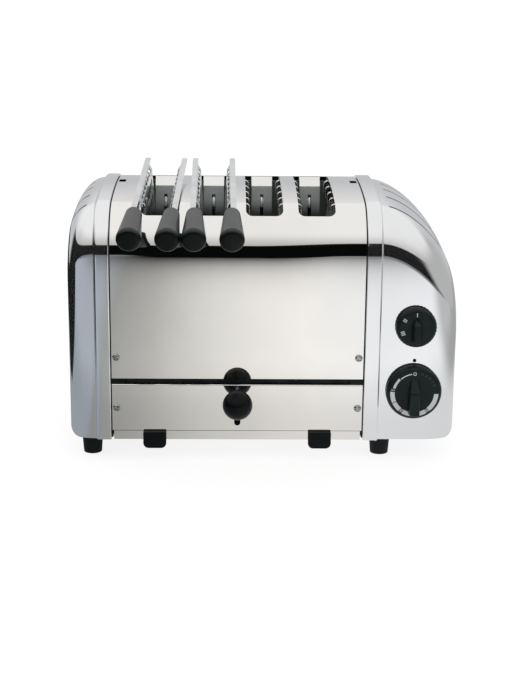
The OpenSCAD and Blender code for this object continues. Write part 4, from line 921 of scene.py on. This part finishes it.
# Small plated screws with a cross recess hold the panels, the shields and the end castings. The
# eight in the panels show, and have low domed heads.
plated = metal(
    "plated_screw", (0.50, 0.53, 0.53), (0.40, 0.42, 0.42),
    rough=0.12, spread=0.08, scale=200.0, grain=0.04)
dress(plated, "foot_screws", "shield_screws", "side_screws")
head_r, head_h, head_rim, screw_in, screw_zs = 3.5, 1.8, 0.3, 5, (50.5, 99.5)
first_turn, next_turn = 25, 37
recess_w, recess_l, recess_z = 1.6, 5.2, 0.3
dome = [radians(a) for a in range(0, 86, 12)]
dome = [(head_r * cos(a), head_rim + (head_h - head_rim) * sin(a)) for a in dome]
profile = [(0, 0), (head_r, 0), *dome, (0, head_h)]
heads = []
for y, facing in ((front_y, 90), (2 * mid_y - front_y, -90)):
    for x in (cover_x0 + screw_in, cover_x1 - screw_in):
        for z in screw_zs:
            head = turned("screw_head", profile, Matrix.Identity(4), steps=40)
            for wide, long in ((recess_w, recess_l), (recess_l, recess_w)):
                carve(head, block("recess", (-wide / 2, -long / 2, recess_z), (wide / 2, long / 2, 3)))
            spun = swing(first_turn + next_turn * len(heads), "Z")
            settle(head, at(x, y, z) @ swing(facing, "X") @ spun)
            heads.append(head)
screws = join("panel_screw_heads", heads)
shade(screws)
fit(screws, plated, "body", "screw_steel", "panel_screws")


# Two sandwich cages stand in the left slots. Each has two perforated plates on a hinge pin, plated
# bright, and each plate's flange ends in a black handle.
chrome = metal(
    "plated_cage", (0.86, 0.87, 0.87), (0.76, 0.77, 0.77),
    rough=0.14, spread=0.10, scale=50.0, grain=0.05)
dress(chrome, *[f"cage_{i}_{part}" for i in (1, 2) for part in ("left_grid", "right_grid", "hinge_pin")])
cage_h, cage_l, cage_spread, cage_dip, cage_pin_z = 145, 122, 8.3, radians(5.2), 103.4286
cage_lean = asin(cage_spread / cage_h)
flange_front, flange_out, flange_drop, grip_dip = 45, 8.45, 0.4, 94
grip_l, root_gap, root_r, root_edge, end_r, tip_r = 63.3, 0.3, 7.5, 1.2, 11, 4.5


def painted_sky_sheen(coat, where, plastic):
    """Plastic painted paler on its upper side: a painted sheen of the sky light that falls on it."""
    facing = coat.add("SeparateXYZ", {}, {0: coat.add("TexCoord")["Normal"]})["Z"]
    return coat.tint(coat.ramp(facing, 0.1, 0.8), plastic, (0.075, 0.076, 0.079))


# The handles' upper sides carry a painted sheen.
satin = moulded(
    "handle_plastic", (0.003, 0.006, 0.006), rough=0.30, bump=0.12, shine=0.18, print_and_sheen=painted_sky_sheen)
front_plate_in = 22
cage_y = mid_y + (front_plate_in + plate_t - rear_plate_in + cage_h * sin(cage_dip)) / 2
profile = [(0, root_gap), *round_edge(root_r - root_edge, root_gap + root_edge, root_edge, -90, 0, 4)]
profile += [*round_edge(end_r - tip_r, grip_l - tip_r, tip_r, 0, 90, 8), (0, grip_l)]
for i, x, turn in ((1, slot_xs[0] - 1.2, 1.5), (2, slot_xs[1] + 0.6, -0.4)):
    stand = at(x, cage_y, cage_pin_z) @ swing(-turn, "Z") @ Matrix.Rotation(cage_dip, 4, "X")
    for side, name in ((-1, "left"), (1, "right")):
        lean = Matrix.Rotation(side * cage_lean, 4, "Y")
        root = at(side * flange_out, -cage_l / 2 - flange_front, cage_h - flange_drop)
        root = root @ swing(grip_dip, "X")
        handle = turned(f"cage_{i}_{name}_grip", profile, stand @ lean @ root, steps=48)
        shade(handle, angle=50)
        body = f"cage_{i}" if side < 0 else f"cage_{i}_right"
        fit(handle, satin, body, "black_plastic", f"cage_{i}_{name}_handle")
